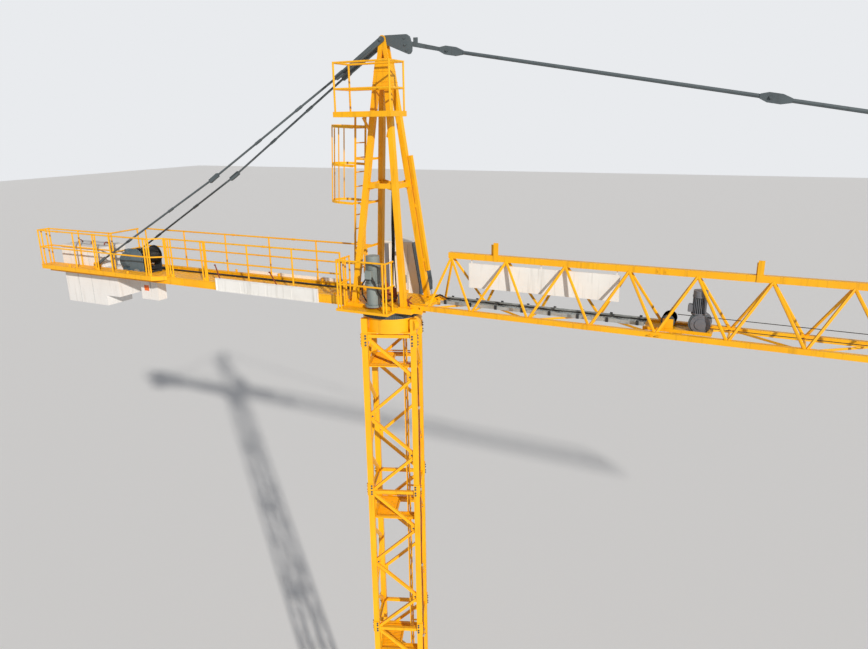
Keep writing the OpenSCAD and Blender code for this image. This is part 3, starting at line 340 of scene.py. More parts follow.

# %% [markdown]
# Galvanised sheet shows a crystal pattern called spangle; the same finish also paints the shade in
# the ballast's seams. Wire rope is dark with grease, and its strands wind round it. Rubber is black
# under a little dust.

# %% Zinc, wire rope and rubber
zinc_and_seam_shade, tree, shader, place = finish("galvanised steel sheet and painted seam shade")
spangle = add(tree, "ShaderNodeTexVoronoi", {"Scale": 30}, {"Vector": place})
stain = add(tree, "ShaderNodeTexNoise", {"Scale": 4, "Detail": 5}, {"Vector": place})
crystal = add(tree, "ShaderNodeMix", {6: linear("#a3a8a8"), 7: linear("#c2c6c5")},
              {0: spangle.outputs["Color"]}, data_type="RGBA")
stain_ramp = add(tree, "ShaderNodeMapRange", {"From Min": 0.5, "From Max": 0.75, "To Max": 0.6},
                 {"Value": stain.outputs["Fac"]})
weathered = add(tree, "ShaderNodeMix", {7: linear("#7d7f79")},
                {0: stain_ramp.outputs[0], 6: crystal.outputs[2]}, data_type="RGBA")
tree.links.new(weathered.outputs[2], shader.inputs["Base Color"])
shader.inputs["Metallic"].default_value = 0.55
shader.inputs["Roughness"].default_value = 0.5

wire, tree, shader, place = finish("greased steel wire rope")
strands = add(tree, "ShaderNodeTexWave", {"Scale": 30, "Distortion": 0.6}, {"Vector": place},
              bands_direction="DIAGONAL")
lay = add(tree, "ShaderNodeMix", {6: linear("#191817"), 7: linear("#3b3936")}, {0: strands.outputs["Fac"]},
          data_type="RGBA")
tree.links.new(lay.outputs[2], shader.inputs["Base Color"])
twist = add(tree, "ShaderNodeBump", {"Strength": 0.6, "Distance": 0.002},
            {"Height": strands.outputs["Fac"]})
tree.links.new(twist.outputs[0], shader.inputs["Normal"])
shader.inputs["Metallic"].default_value = 0.6
shader.inputs["Roughness"].default_value = 0.45

rubber, tree, shader, place = finish("black rubber hose")
dust = add(tree, "ShaderNodeTexNoise", {"Scale": 25, "Detail": 4}, {"Vector": place})
dusty = add(tree, "ShaderNodeMix", {6: linear("#141414"), 7: linear("#2d2b28")}, {0: dust.outputs["Fac"]},
            data_type="RGBA")
tree.links.new(dusty.outputs[2], shader.inputs["Base Color"])
shader.inputs["Roughness"].default_value = 0.6
print(len(bpy.data.materials), "materials in all")

# %% [markdown]
# Each CAD node takes the finish of the real part through its material slot. A few nodes have a paint
# of their own, because their slot is shared with parts that are painted another way. The ballast
# frame's black is partly its paint and partly painted shade, darkening the beams under the walkway
# where the deck's shade falls.

# %% Finish the CAD nodes
finish_of = {"yellow_paint": yellow, "white_paint": white, "dark_paint": tie_grey,
             "motor_paint": motor_blue, "window_glass": glass, "concrete": concrete,
             "galvanised": zinc_and_seam_shade, "wire_rope": wire}
# Partly painted shade: the ballast frame's black darkens it where the walkway's shade falls.
own_finish = {"slewing_gear": drive_grey, "ballast_frame": black_steel_and_shade,
              "hoist_frame": black_steel_and_shade, "hoist_drum": wire}
for part in frame["record"]["subparts"]:
    thing = frame["nodes"].get(part["node"])
    if thing is None:
        continue
    thing.data.materials.clear()
    thing.data.materials.append(own_finish.get(part["node"], finish_of[part["material_slot"]]))
print(len(frame["nodes"]), "nodes finished")

# %% [markdown]
# The foot stands on four anchor plates. Each has a stud through it with a washer and a nut, and the
# beams have welded stiffening ribs under the mast's shoes.

# %% Foot fittings
arm_turns = (45, 135, 225, 315)
anchor_reach = 1.2075
bm = bmesh.new()
for turn in arm_turns:
    spin = Matrix.Rotation(math.radians(turn), 4, "Z")
    centre = mast_turn @ spin @ Vector((anchor_reach, 0, 0))
    rod(bm, centre, centre + Vector((0, 0, 0.07)), 12, 12)
    bolt(bm, centre + Vector((0, 0, 0.025)), (0, 0, 1), 22, 26)
piece("anchor_studs", bm, zinc_and_seam_shade, "tower")

bm = bmesh.new()
rib_reaches = (0.3, 0.42, 0.62, 0.86, 1.02)
for turn in arm_turns:
    spin = mast_turn @ Matrix.Rotation(math.radians(turn), 4, "Z")
    for reach in rib_reaches:
        for side in (-1, 1):
            foot = spin @ Vector((reach, side * 0.079, 0.012))
            bar(bm, foot, foot + Vector((0, 0, 0.136)), 10, 28)
    for side in (-1, 1):
        for level in (0.008, 0.152):
            inner, outer = Vector((0.1, side * 0.078, level)), Vector((1.14, side * 0.078, level))
            bar(bm, spin @ inner, spin @ outer, 28, 15)
piece("foot_ribs", bm, yellow, "tower")

# %% [markdown]
# Two lengths of mast meet at a joint. A plate lies over it on each outer face of a chord, with two
# bolts above the joint and two below. A diagonal meets the chord at a gusset plate with one bolt.

# %% Mast joints
half, chord = 265, 65
foot_h, section, sections = 220, 1885, 5
plate_face = half + chord / 2 + 8
top_joint = foot_h + sections * section - 79
joint_levels = [foot_h + i * section for i in range(1, sections)] + [top_joint]
bm = bmesh.new()
for level in joint_levels:
    for sx in (-1, 1):
        for sy in (-1, 1):
            for dz in (-52, -22, 22, 52):
                x_face = on_mast(sx * plate_face, sy * (half - 12), level + dz)
                y_face = on_mast(sx * (half - 12), sy * plate_face, level + dz)
                bolt(bm, x_face, mast_turn @ Vector((sx, 0, 0)), 8, 12)
                bolt(bm, y_face, mast_turn @ Vector((0, sy, 0)), 8, 12)
piece("mast_joint_bolts", bm, tie_grey, "tower")

bm = bmesh.new()
step = section / 4
for turn in (0, 90, 180, 270):
    spin = mast_turn @ Matrix.Rotation(math.radians(turn), 4, "Z")
    for i in range(sections):
        for k in range(4):
            side = 1 if k % 2 == 0 else -1
            level = foot_h + i * section + (k + 1) * step - 36
            if level > foot_h + sections * section - 60:
                continue
            at = spin @ Vector((side * 0.214, -0.269, level / 1000))
            bolt(bm, at, spin @ Vector((0, -1, 0)), 7, 10)
piece("mast_gusset_bolts", bm, tie_grey, "tower")

# %% [markdown]
# Each rest platform is a floor of bearing bars in a frame of toe boards. The bars leave the ladder's
# hatch free.

# %% Rest platforms
floor_below_joint = 386
bm = bmesh.new()
for i in range(1, sections + 1):
    level = foot_h + i * section - floor_below_joint
    for k in range(-8, 9):
        y = k * 26
        end = 225 if abs(y) > 130 else 2
        bar(bm, on_mast(-225, y, level + 2), on_mast(end, y, level + 2), 5, 6)
    for side in (-1, 1):
        bar(bm, on_mast(-228, side * 243, level + 18), on_mast(228, side * 243, level + 18), 36, 5)
        bar(bm, on_mast(side * 243, -228, level + 18), on_mast(side * 243, 228, level + 18), 36, 5)
        bar(bm, on_mast(2, side * 133, level + 10), on_mast(228, side * 133, level + 10), 20, 5)
    bar(bm, on_mast(3, -133, level + 10), on_mast(3, 133, level + 10), 20, 5)
piece("landing_floors", bm, yellow, "tower")

# %% [markdown]
# The power cable climbs the outside of the near right-hand chord. Clips hold it about every metre.

# %% Mast cable
bm = bmesh.new()
cable_x, cable_y = half + chord / 2 + 9, -half + 6
points = [on_mast(cable_x + 3 * math.sin(k * 1.7), cable_y + 4 * math.sin(k * 2.3), 260 + k * 310)
          for k in range(30)]
hose(bm, points, 7)
piece("mast_cable", bm, red_lead, "tower", smooth=True)

bm = bmesh.new()
for k in range(9):
    z = 700 + k * 1010
    clip = bar(bm, on_mast(cable_x - 1, cable_y, z - 16), on_mast(cable_x - 1, cable_y, z + 16), 22, 26)
    rounded(bm, clip, 3)
piece("mast_cable_clips", bm, zinc_and_seam_shade, "tower")

# %% [markdown]
# The slewing ring's fixed half has teeth round its outside, which the slewing motor's pinion drives.
# One tooth is a small bar, and it is repeated round the ring.

# %% Slewing ring teeth
ring_low, ring_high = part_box("slew_ring_lower")[0][2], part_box("slew_ring_lower")[1][2]
teeth, tooth_reach = 84, 0.323
bm = bmesh.new()
for k in range(teeth):
    spin = Matrix.Rotation(math.tau * k / teeth, 4, "Z")
    low, high = Vector((tooth_reach, 0, ring_low + 0.003)), Vector((tooth_reach, 0, ring_high - 0.003))
    bar(bm, spin @ low, spin @ high, 11, 11)
piece("slewing_ring_teeth", bm, tie_grey, "tower")

# %% [markdown]
# The slewing motor stands on its gearbox. Its housing has cooling fins and a fan cowl, and black
# hoses run from its side to the valves between the head's legs.

# %% Slewing motor
low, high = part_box("slewing_gear")
mx, my = (low[0] + high[0]) / 2, (low[1] + high[1]) / 2
motor_foot = Vector((mx, my, low[2]))
bm = bmesh.new()
for k in range(18):
    z = low[2] + 0.26 + k * 0.012
    rod(bm, Vector((mx, my, z)), Vector((mx, my, z + 0.005)), 80, 24)
rod(bm, Vector((mx, my, high[2] - 0.064)), Vector((mx, my, high[2] - 0.002)), 72, 24)
for k in range(10):
    a = math.tau * k / 10
    bolt(bm, Vector((mx + 0.083 * math.cos(a), my + 0.083 * math.sin(a), low[2] + 0.246)), (0, 0, 1), 5, 9)
    bolt(bm, Vector((mx + 0.086 * math.cos(a), my + 0.086 * math.sin(a), low[2] + 0.0215)), (0, 0, 1), 5, 9)
rounded(bm, block(bm, (mx - 0.03, my - 0.125, low[2] + 0.31), (mx + 0.045, my - 0.07, low[2] + 0.4)), 5)
piece("slewing_motor_housing", bm, drive_grey)

bm = bmesh.new()
paths = {9: ((40, -100, 330), (75, -105, 280), (100, -70, 160),
             (110, 0, 80), (130, 100, 50), (140, 220, 50)),
         8: ((-20, -100, 320), (-70, -110, 250), (-105, -60, 130), (-110, 30, 30), (-100, 140, 20))}
for hose_r, path in paths.items():
    hose(bm, [motor_foot + Vector(point) / 1000 for point in path], hose_r)
piece("slewing_motor_hoses", bm, rubber, smooth=True)

# %% [markdown]
# The deck under the tower head carries small fittings: a grey junction box on the near leg, a
# cluster of primed valves and pipes between the legs, and raised checker plate underfoot.

# %% Deck fittings
bm = bmesh.new()
rounded(bm, block(bm, on_deck(205, -232, 20), on_deck(262, -196, 132)), 4)
rod(bm, on_deck(233, -214, 2), on_deck(233, -214, 24), 9)
for x in (218, 248):
    rod(bm, on_deck(x, -214, 132), on_deck(x, -214, 150), 7)
piece("junction_box", bm, zinc_and_seam_shade)

bm = bmesh.new()
valves = ((-190, -120, 190, 30), (-120, -150, 240, 26), (-55, -110, 170, 34), (20, -140, 210, 22),
          (85, -100, 150, 26))
for x, y, height, valve_r in valves:
    rod(bm, on_deck(x, y, 2), on_deck(x, y, height), valve_r, 16)
    rod(bm, on_deck(x, y, height * 0.55), on_deck(x, y, height * 0.55 + 18), valve_r + 9, 16)
    rod(bm, on_deck(x, y, height), on_deck(x, y, height + 26), valve_r * 0.5, 10)
paths = {10: ((-190, -120, 160), (-160, -170, 175), (-90, -185, 150), (20, -180, 120), (85, -130, 90)),
         14: ((-200, -60, 60), (-110, -60, 74), (0, -60, 66), (120, -60, 58))}
for pipe_r, path in paths.items():
    hose(bm, [on_deck(*point) for point in path], pipe_r)
piece("valve_cluster", bm, red_lead)

bm = bmesh.new()
centre, wheel_r = on_deck(330, -238, 70), 0.062
for angle in (42, -38):
    run = Vector((math.cos(math.radians(angle)), 0, math.sin(math.radians(angle)))) * wheel_r
    bar(bm, centre - run, centre + run, 14, 12)
rod(bm, on_deck(330, -246, 70), on_deck(330, -230, 70), 13, 12)
rod(bm, on_deck(330, -232, 8), on_deck(330, -232, 70), 9, 10)
piece("valve_handwheel", bm, red_lead)

base_x, base_y, tread_pitch = 300, 272, 30
bm = bmesh.new()
for k in range(26):
    for j in range(20):
        x, y = -380 + k * tread_pitch, -290 + j * tread_pitch
        under_leg = abs(abs(x) - base_x) < 55 and abs(abs(y) - base_y) < 52
        if (k + j) % 2 or under_leg:
            continue
        lean = 9 if k % 2 else -9
        bar(bm, on_deck(x - 9, y - lean, 1), on_deck(x + 9, y + lean, 1), 4, 3)
piece("deck_checker_plate", bm, yellow)

# %% [markdown]
# The tower head is four square legs under a closed top. Each cross beam ends in a small gusset, and
# weld seams ring the closed top where its plates meet.

# %% Tower head seams and gussets
head_h, top_half, leg_half = 2650, 23, 28.5
top_low, top_high, top_width = 2210, 2465, 68


def leg(z):
    t = z / head_h
    return base_x + (top_half - base_x) * t, base_y + (top_half - base_y) * t


bm = bmesh.new()
x0, y0 = leg(top_low)
for z, grow in ((2214, 2), (2252, 1.5), (2352, 1.5), (2458, 2)):
    t = (z - top_low) / (top_high - top_low)
    wx = (x0 + leg_half) * (1 - t) + top_width * t + grow
    wy = (y0 + leg_half) * (1 - t) + top_width * t + grow
    corners = [on_deck(wx, wy, z), on_deck(-wx, wy, z), on_deck(-wx, -wy, z), on_deck(wx, -wy, z)]
    for a, b in zip(corners, corners[1:] + corners[:1]):
        rod(bm, a, b, 3.2, 6)
beam_z = 1235
x, y = leg(beam_z)
for sx in (-1, 1):
    for sy in (-1, 1):
        for dz in (-38, 38):
            at_leg, at_beam = beam_z + dz, beam_z + dz * 0.55
            bar(bm, on_deck(sx * (x - 30), sy * y, at_leg), on_deck(sx * (x - 95), sy * y, at_beam), 5, 16)
            bar(bm, on_deck(sx * x, sy * (y - 30), at_leg), on_deck(sx * x, sy * (y - 88), at_beam), 5, 16)
piece("head_seams", bm, yellow)

bm = bmesh.new()
low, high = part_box("head_platform")
grating_pitch, grating_z = 0.03, deck + 1.933
for k in range(int((high[0] - low[0] - grating_pitch) / grating_pitch)):
    x = low[0] + 0.022 + k * grating_pitch
    bar(bm, Vector((x, low[1] + 0.01, grating_z)), Vector((x, high[1] - 0.01, grating_z)), 5, 5)
for y in (low[1] + 0.09, (low[1] + high[1]) / 2, high[1] - 0.09):
    bar(bm, Vector((low[0] + 0.01, y, deck + 1.932)), Vector((high[0] - 0.01, y, deck + 1.932)), 4, 4)
leg_y = leg(1880)[1] / 1000
for x in (-0.19, 0.15):
    strut_top = Vector((x, high[1] - 0.02, deck + 1.915))
    strut_foot = Vector((x * 0.5, -leg_y - 0.02, deck + 1.72))
    bar(bm, strut_top, strut_foot, 22, 22)
piece("head_platform_grating", bm, yellow)

bm = bmesh.new()
path = ((72, 4, 1788), (66, -6, 1500), (54, 5, 1180), (44, -4, 814), (39, 3, 600), (34, 0, 456))
for shift, foot in ((-13, 15), (0, 22), (13, 58)):
    points = [on_deck(x + shift, y, z) for x, y, z in path]
    points += [on_deck(foot + shift / 3, -4, 145), on_deck(foot + shift / 3, 0, 4)]
    hose(bm, points, 6.5)
piece("head_cables", bm, rubber, smooth=True)

# %% [markdown]
# The cab is a sheet-steel box. One windscreen covers its leaning front and a window fills its far
# side, both framed in black rubber, with a wiper on the screen. Thin trim rings the roof and the side
# panels. Down the rear edge of the near side runs a slate strip, painted shade in the grey that the
# white wall takes in shade. The near side also has a door handle, and the rear wall has a vent.

# %% Cab fittings
low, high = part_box("cab_body")
cab_h, cab_lean = 0.723, 0.087
wz0, wz1 = low[2] + cab_h * 0.35, low[2] + cab_h - 0.06
wy0, wy1 = low[1] + 0.04, high[1] - 0.04
slope = cab_lean / (cab_h * 0.7)
foot_z = low[2] + cab_h * 0.3


def front(z):
    return high[0] - max(0, z - foot_z) * slope


bm = bmesh.new()
for y in (wy0 + 0.006, (wy0 + wy1) / 2, wy1 - 0.006):
    bar(bm, Vector((front(wz0), y, wz0)), Vector((front(wz1), y, wz1)), 12, 14)
for z in (wz0 + 0.006, wz1 - 0.006):
    bar(bm, Vector((front(z), wy0, z)), Vector((front(z), wy1, z)), 14, 12)
y = high[1] + 0.002
for z in (wz0 + 0.02, wz1 - 0.02):
    bar(bm, Vector((low[0] + 0.06, y, z)), Vector((low[0] + 0.3, y, z)), 4, 10)
for x in (0.06, 0.3):
    bar(bm, Vector((low[0] + x, y, wz0 + 0.015)), Vector((low[0] + x, y, wz1 - 0.015)), 10, 4)
middle = (wy0 + wy1) / 2
wiper_foot = Vector((front(wz0 + 0.03) + 0.006, middle + 0.05, wz0 + 0.02))
wiper_tip = Vector((front(wz0 + 0.3) + 0.006, middle + 0.16, wz0 + 0.3))
rod(bm, wiper_foot, wiper_tip, 3, 6)
piece("cab_window_seals", bm, rubber)

bm = bmesh.new()
block(bm, (low[0] + 0.07, high[1], wz0 + 0.03), (low[0] + 0.29, high[1] + 0.003, wz1 - 0.03))
inside, outside, sill = 0.001, 0.007, foot_z - 0.1
profile = ((sill, inside), (foot_z, inside), (high[2] - 0.004, inside),
           (high[2] - 0.004, outside), (foot_z, outside), (sill, outside))
across = (low[1] + 0.003, high[1] - 0.003)
sheet = [bm.verts.new((front(z) + out, y, z)) for z, out in profile for y in across]
ring = [sheet[2 * k] for k in range(6)], [sheet[2 * k + 1] for k in range(6)]
bm.faces.new(ring[0])
bm.faces.new(reversed(ring[1]))
for k in range(6):
    bm.faces.new((ring[0][k], ring[1][k], ring[1][(k + 1) % 6], ring[0][(k + 1) % 6]))
bmesh.ops.recalc_face_normals(bm, faces=bm.faces[:])
piece("cab_side_glass", bm, glass)

bm = bmesh.new()
back, roof, gutter_z = low[0], front(high[2]), high[2] - 0.012
roof_edges = (((back, low[1]), (roof, low[1])), ((back, high[1]), (roof, high[1])),
              ((back, low[1]), (back, high[1])), ((roof, low[1]), (roof, high[1])))
for a, b in roof_edges:
    bar(bm, Vector((*a, gutter_z)), Vector((*b, gutter_z)), 14, 14)
block(bm, (low[0] + 0.12, low[1] + 0.1, high[2] - 0.006), (low[0] + 0.3, low[1] + 0.24, high[2] - 0.0005))
for y in (low[1] - 0.003, high[1] + 0.003):
    for x in (0.062, 0.299, 0.309):
        bar(bm, Vector((low[0] + x, y, low[2] + 0.03)), Vector((low[0] + x, y, high[2] - 0.03)), 5, 5)
    bar(bm, Vector((low[0] + 0.062, y, low[2] + 0.03)), Vector((low[0] + 0.3, y, low[2] + 0.03)), 5, 5)
piece("cab_trim", bm, white)

bm = bmesh.new()
# Painted shade: the slate strip down the near side's rear edge is the grey that the white wall takes in
# shade.
block(bm, (low[0] + 0.002, low[1] - 0.003, low[2] + 0.03), (low[0] + 0.056, low[1], high[2] - 0.03))
rounded(bm, block(bm, (low[0] + 0.146, low[1] - 0.012, high[2] - 0.163),
                  (low[0] + 0.189, low[1], high[2] - 0.117)), 3)
handle_x, handle_y, seam_x = low[0] + 0.28, low[1] - 0.008, low[0] + 0.3045
rod(bm, Vector((handle_x, handle_y, low[2] + 0.25)), Vector((handle_x, handle_y, low[2] + 0.34)), 5, 8)
block(bm, (seam_x - 0.002, low[1] - 0.002, low[2] + 0.03), (seam_x + 0.002, low[1], high[2] - 0.03))
piece("cab_shade_strip_and_handle", bm, slate)

bm = bmesh.new()
for k in range(6):
    z = low[2] + 0.3 + k * 0.022
    bar(bm, Vector((low[0] - 0.004, low[1] + 0.08, z)), Vector((low[0] - 0.004, low[1] + 0.26, z)), 5, 12)
for y in (low[1] + 0.07, low[1] + 0.27):
    bar(bm, Vector((low[0] - 0.003, y, low[2] + 0.29)), Vector((low[0] - 0.003, y, low[2] + 0.43)), 8, 5)
piece("cab_vent", bm, slate)

# %% [markdown]
# The counter-jib is two girders with a floor between them and a raised walkway beside the ballast.
# Welded ribs stiffen the webs, and the floor sheets have a raised pattern against slipping.

# %% Counter-jib steelwork
rib_pitch, floor_pitch = 290, 52
bm = bmesh.new()
for side in (-1, 1):
    for k in range(17):
        x = -5150 + k * rib_pitch
        for y in (285.2, 236):
            bar(bm, on_deck(x, side * y, -37), on_deck(x, side * y, 39), 8, 5.4)
for k in range(70):
    x = -4060 + k * floor_pitch
    lean = 14 if k % 2 else -14
    for j in range(7):
        y = -198 + j * 66
        bar(bm, on_deck(x - 14, y - lean, 9), on_deck(x + 14, y + lean, 9), 4, 3)
for k in range(42):
    x = -5265 + k * floor_pitch
    lean = 14 if k % 2 else -14
    for y in (-350, -290, -235):
        bar(bm, on_deck(x - 14, y - lean, 59), on_deck(x + 14, y + lean, 59), 4, 3)
piece("counter_jib_ribs", bm, yellow)

girder_face, board_gap = 300.3, 3
bm = bmesh.new()
for side in (-1, 1):
    drop = 16 if side > 0 else 0
    y = side * (girder_face + board_gap)
    x0, x1, z0, z1 = -2252, -770, -54 - drop, 104 - drop
    for z in (z0 + 6, z1 - 6):
        bar(bm, on_deck(x0, y, z), on_deck(x1, y, z), 6, 12)
    for x in (x0 + 6, x1 - 6):
        bar(bm, on_deck(x, y, z0 + 12), on_deck(x, y, z1 - 12), 12, 6)
    for k in range(1, 4):
        x = x0 + (x1 - x0) * k / 4
        bar(bm, on_deck(x, y - side * 2, z0 + 12), on_deck(x, y - side * 2, z1 - 12), 8, 3)
piece("name_board_frames", bm, white)

bm = bmesh.new()
for x0, x1, top in ((-2245, -2185, 268), (-1432, -1338, 245)):
    bar(bm, on_deck(x0, -292, top), on_deck(x1, -297, 102), 12, 8)
    bolt(bm, on_deck(x0, -296, top - 8), (0, -1, 0), 6, 8)
piece("name_board_hangers", bm, red_lead)

# %% [markdown]
# Each railing post is clamped to the girder by a small foot with a bolt, and a socket joins the
# lengths of handrail.

# %% Railing fittings
walk_rail, floor_rail, socket_z = -384, 278, 525
bm = bmesh.new()
for x in (-5275, -4730, -4190, -3640, -3240):
    rod(bm, on_deck(x, walk_rail, 60), on_deck(x, walk_rail, 92), 14, 10)
    bolt(bm, on_deck(x, walk_rail - 13, 76), (0, -1, 0), 5, 9)
for y in (-floor_rail, floor_rail):
    for x in (-2980, -2440, -1760, -1110, -560):
        rod(bm, on_deck(x, y, 52), on_deck(x, y, 84), 14, 10)
        bolt(bm, on_deck(x, y + (13 if y > 0 else -13), 68), (0, y, 0), 5, 9)
for x in (-4900, -4190, -3300):
    rod(bm, on_deck(x - 22, walk_rail, socket_z), on_deck(x + 22, walk_rail, socket_z), 13, 10)
for x in (-2440, -1500):
    for y in (-floor_rail, floor_rail):
        rod(bm, on_deck(x - 22, y, socket_z), on_deck(x + 22, y, socket_z), 13, 10)
piece("railing_sockets", bm, yellow)

# %% [markdown]
# A ballast slab is lifted by a steel loop cast into its top. The loop is a small circle that is spun
# through half a turn. Thin grey strips at the joints between the slabs are painted shade: they darken
# the seams as the shade in them would. Small clamps hold the row to its frame, and an orange plate is
# screwed to the frame's near side.

# %% Ballast fittings
def lifting_loop(bm, centre, loop_r, rod_r):
    start = Matrix.Translation(centre + Vector((loop_r / 1000, 0, 0)))
    ring = bmesh.ops.create_circle(bm, segments=8, radius=rod_r / 1000, matrix=start)["verts"]
    bmesh.ops.spin(bm, geom=ring + edges_of(ring), cent=centre, axis=(0, 1, 0), angle=-math.pi, steps=14)
    reach = (loop_r + rod_r * 1.5) / 1000
    bent = [v for v in bm.verts if (v.co - centre).length < reach]
    bmesh.ops.rotate(bm, verts=bent, cent=centre, matrix=Matrix.Rotation(math.pi / 2, 3, "Z"))


slab_low, slab_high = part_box("ballast_blocks")
print("ballast row", round(slab_high[0] - slab_low[0], 3), "m long")
slab_x0, slab_t, slab_top = -5107, 260, 315
bm = bmesh.new()
for k in range(3):
    middle = slab_x0 + slab_t * (k + 0.5)
    lifting_loop(bm, on_deck(middle - 10, 16, slab_top + 1), 34, 7)
piece("ballast_lifting_loops", bm, red_lead, smooth=True)

bm = bmesh.new()
for side in (-1, 1):
    bar(bm, on_deck(slab_x0 - 22, side * 202, 42.5), on_deck(slab_x0 - 22, side * 230, 42.5), 40, 12)
    bolt(bm, on_deck(slab_x0 - 22, side * 216, 48), (0, 0, 1), 6, 2)
    for x in (-3800, -3655, -3516):
        bar(bm, on_deck(x + 4, side * 71, -90), on_deck(x + 4, side * 71, -44), 30, 4)
        bolt(bm, on_deck(x + 4, side * 73, -78), (0, side, 0), 6, 8)
piece("ballast_clamps", bm, black_steel_and_shade)

# Painted shade: thin grey strips down the faces and across the top of each slab joint darken the seams
# where their shade would fall.
bm = bmesh.new()
for k in range(1, 3):
    x = slab_x0 + slab_t * k
    for side in (-1, 1):
        bar(bm, on_deck(x, side * 200, -474), on_deck(x, side * 200, 34), 4, 2)
        bar(bm, on_deck(x, side * 200, 60), on_deck(x, side * 200, slab_top - 4), 4, 2)
    bar(bm, on_deck(x, -199, slab_top), on_deck(x, 199, slab_top), 4, 2)
piece("ballast_seam_shade_strips", bm, zinc_and_seam_shade)

bm = bmesh.new()
block(bm, on_deck(-3742, -72, -240), on_deck(-3660, -69, -166))
for x in (-3735, -3667):
    bolt(bm, on_deck(x, -72, -203), (0, -1, 0), 6, 7)
piece("ballast_marker_plate", bm, signal_orange)

# %% [markdown]
# The hoist drum is wound with steel rope. One turn is a circle of the rope's section spun round the
# drum, and the turns lie side by side. Spokes and bolts stiffen the drum's end flanges.

# %% Hoist drum
def rope_turn(bm, centre, winding_r, rope_r, steps, turned):
    start = Matrix.Translation(centre + Vector((winding_r, 0, 0))) @ turned
    circle = bmesh.ops.create_circle(bm, segments=6, radius=rope_r, matrix=start)["verts"]
    bmesh.ops.spin(bm, geom=circle + edges_of(circle), cent=centre, axis=(0, 1, 0), angle=math.tau,
                   steps=steps, use_merge=True)


drum_low, drum_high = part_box("hoist_drum")
drum = Vector(((drum_low[0] + drum_high[0]) / 2, 0, (drum_low[2] + drum_high[2]) / 2))
rope_pitch, wound_width = 0.009, 0.245
bm = bmesh.new()
for k in range(int(wound_width / rope_pitch)):
    at = drum + Vector((0, -0.117 + k * rope_pitch, 0))
    rope_turn(bm, at, 0.0985, 0.0046, 36, Matrix.Rotation(-math.pi / 2, 4, "Z"))
piece("hoist_rope_turns", bm, wire, "hoist_drum", smooth=True)

bm = bmesh.new()
for side in (-1, 1):
    end = drum + Vector((0, side * 0.1375, 0))
    for k in range(6):
        a = math.tau * k / 6
        reach = Vector((math.cos(a), 0, math.sin(a)))
        bar(bm, end + reach * 0.03, end + reach * 0.117, 14, 5)
        bolt(bm, end + Matrix.Rotation(0.4, 3, "Y") @ reach * 0.105, (0, side, 0), 6, 6)
piece("hoist_drum_spokes", bm, motor_blue, "hoist_drum")

# %% [markdown]
# The hoist motor has cooling fins along its housing, a fan cowl at its end, a terminal box on top and
# a brake at the gearbox.

# %% Hoist motor
axis_y, axis_z, motor_r = -60, 156.1, 102.5
drum_x, drum_z, brake_x = -3695, 215.3, -3861
bm = bmesh.new()
for k in range(28):
    a = math.tau * k / 28
    if math.sin(a) < -0.8:
        continue
    y, z = axis_y + math.cos(a) * (motor_r + 3), axis_z + math.sin(a) * (motor_r + 3)
    bar(bm, on_deck(-4004, y, z), on_deck(-3920, y, z), 5, 9)
for x, r in ((-4024, 106), (-3922, 110)):
    rod(bm, on_deck(x, axis_y, axis_z), on_deck(x + 14, axis_y, axis_z), r, 40)
for k in range(8):
    a = math.tau * k / 8
    bolt(bm, on_deck(-3910.2, axis_y + 109 * math.cos(a), axis_z + 109 * math.sin(a)), (-1, 0, 0), 5, 9)
box_low, box_high = on_deck(-3996, axis_y - 40, axis_z + 98), on_deck(-3934, axis_y + 40, axis_z + 146)
rounded(bm, block(bm, box_low, box_high), 6)
rod(bm, on_deck(brake_x, -150, axis_z), on_deck(brake_x, -172, axis_z), 58, 36)
rod(bm, on_deck(brake_x, -172, axis_z), on_deck(brake_x, -180, axis_z), 40, 36)
for x in (-3886, -3836):
    for z in (30, 84, 228, 262):
        bolt(bm, on_deck(x, -150, z), (0, -1, 0), 6, 9)
piece("hoist_motor_housing", bm, motor_blue)

bm = bmesh.new()
rod(bm, on_deck(drum_x, -190, drum_z), on_deck(drum_x, -179, drum_z), 126, 48)
rounded(bm, block(bm, on_deck(drum_x - 126, -190.3, 34), on_deck(drum_x + 126, -178.7, drum_z)), 3)
for x in (-108, 0, 108):
    bolt(bm, on_deck(drum_x + x, -190, 52), (0, -1, 0), 6, 8)
for k in range(7):
    a = math.pi * k / 6
    bolt(bm, on_deck(drum_x + 112 * math.cos(a), -190, drum_z + 112 * math.sin(a)), (0, -1, 0), 6, 8)
piece("hoist_gear_cover", bm, motor_blue)

bm = bmesh.new()
wheel_x, wheel_z = -3680, 47
discs = ((-222, -212, 36, 24), (-212, -206, 27, 24), (-206, -196, 36, 24), (-228, -190, 8, 12))
for y0, y1, disc_r, sides in discs:
    rod(bm, on_deck(wheel_x, y0, wheel_z), on_deck(wheel_x, y1, wheel_z), disc_r, sides)
piece("hoist_pulley", bm, zinc_and_seam_shade)

bm = bmesh.new()
for y in (-196, 80):
    bar(bm, on_deck(-4035, y, 22), on_deck(-3556, y, 22), 26, 26)
for x in (-4000, -3900, -3590):
    bar(bm, on_deck(x, -196, 20), on_deck(x, 80, 20), 26, 18)
piece("hoist_bed", bm, black_steel_and_shade)

bm = bmesh.new()
paths = {9: ((-3965, axis_y + 38, 280), (-3965, 0, 276), (-3955, 62, 200), (-3930, 120, 60),
             (-3860, 190, 16), (-3000, 205, 15), (-2000, 212, 16), (-1000, 205, 15), (-520, 200, 16)),
         7: ((-3861, 60, 120), (-3850, 100, 70), (-3800, 183, 16), (-2600, 190, 15), (-1300, 186, 15),
             (-520, 176, 16))}
for cable_r, path in paths.items():
    hose(bm, [on_deck(*point) for point in path], cable_r)
piece("counter_jib_cables", bm, rubber, smooth=True)

# %% [markdown]
# The jib comes in lengths that are pinned together. At each joint the chords have pairs of ears with
# a pin through them. The top chord also carries two upright plates for the lifting slings.

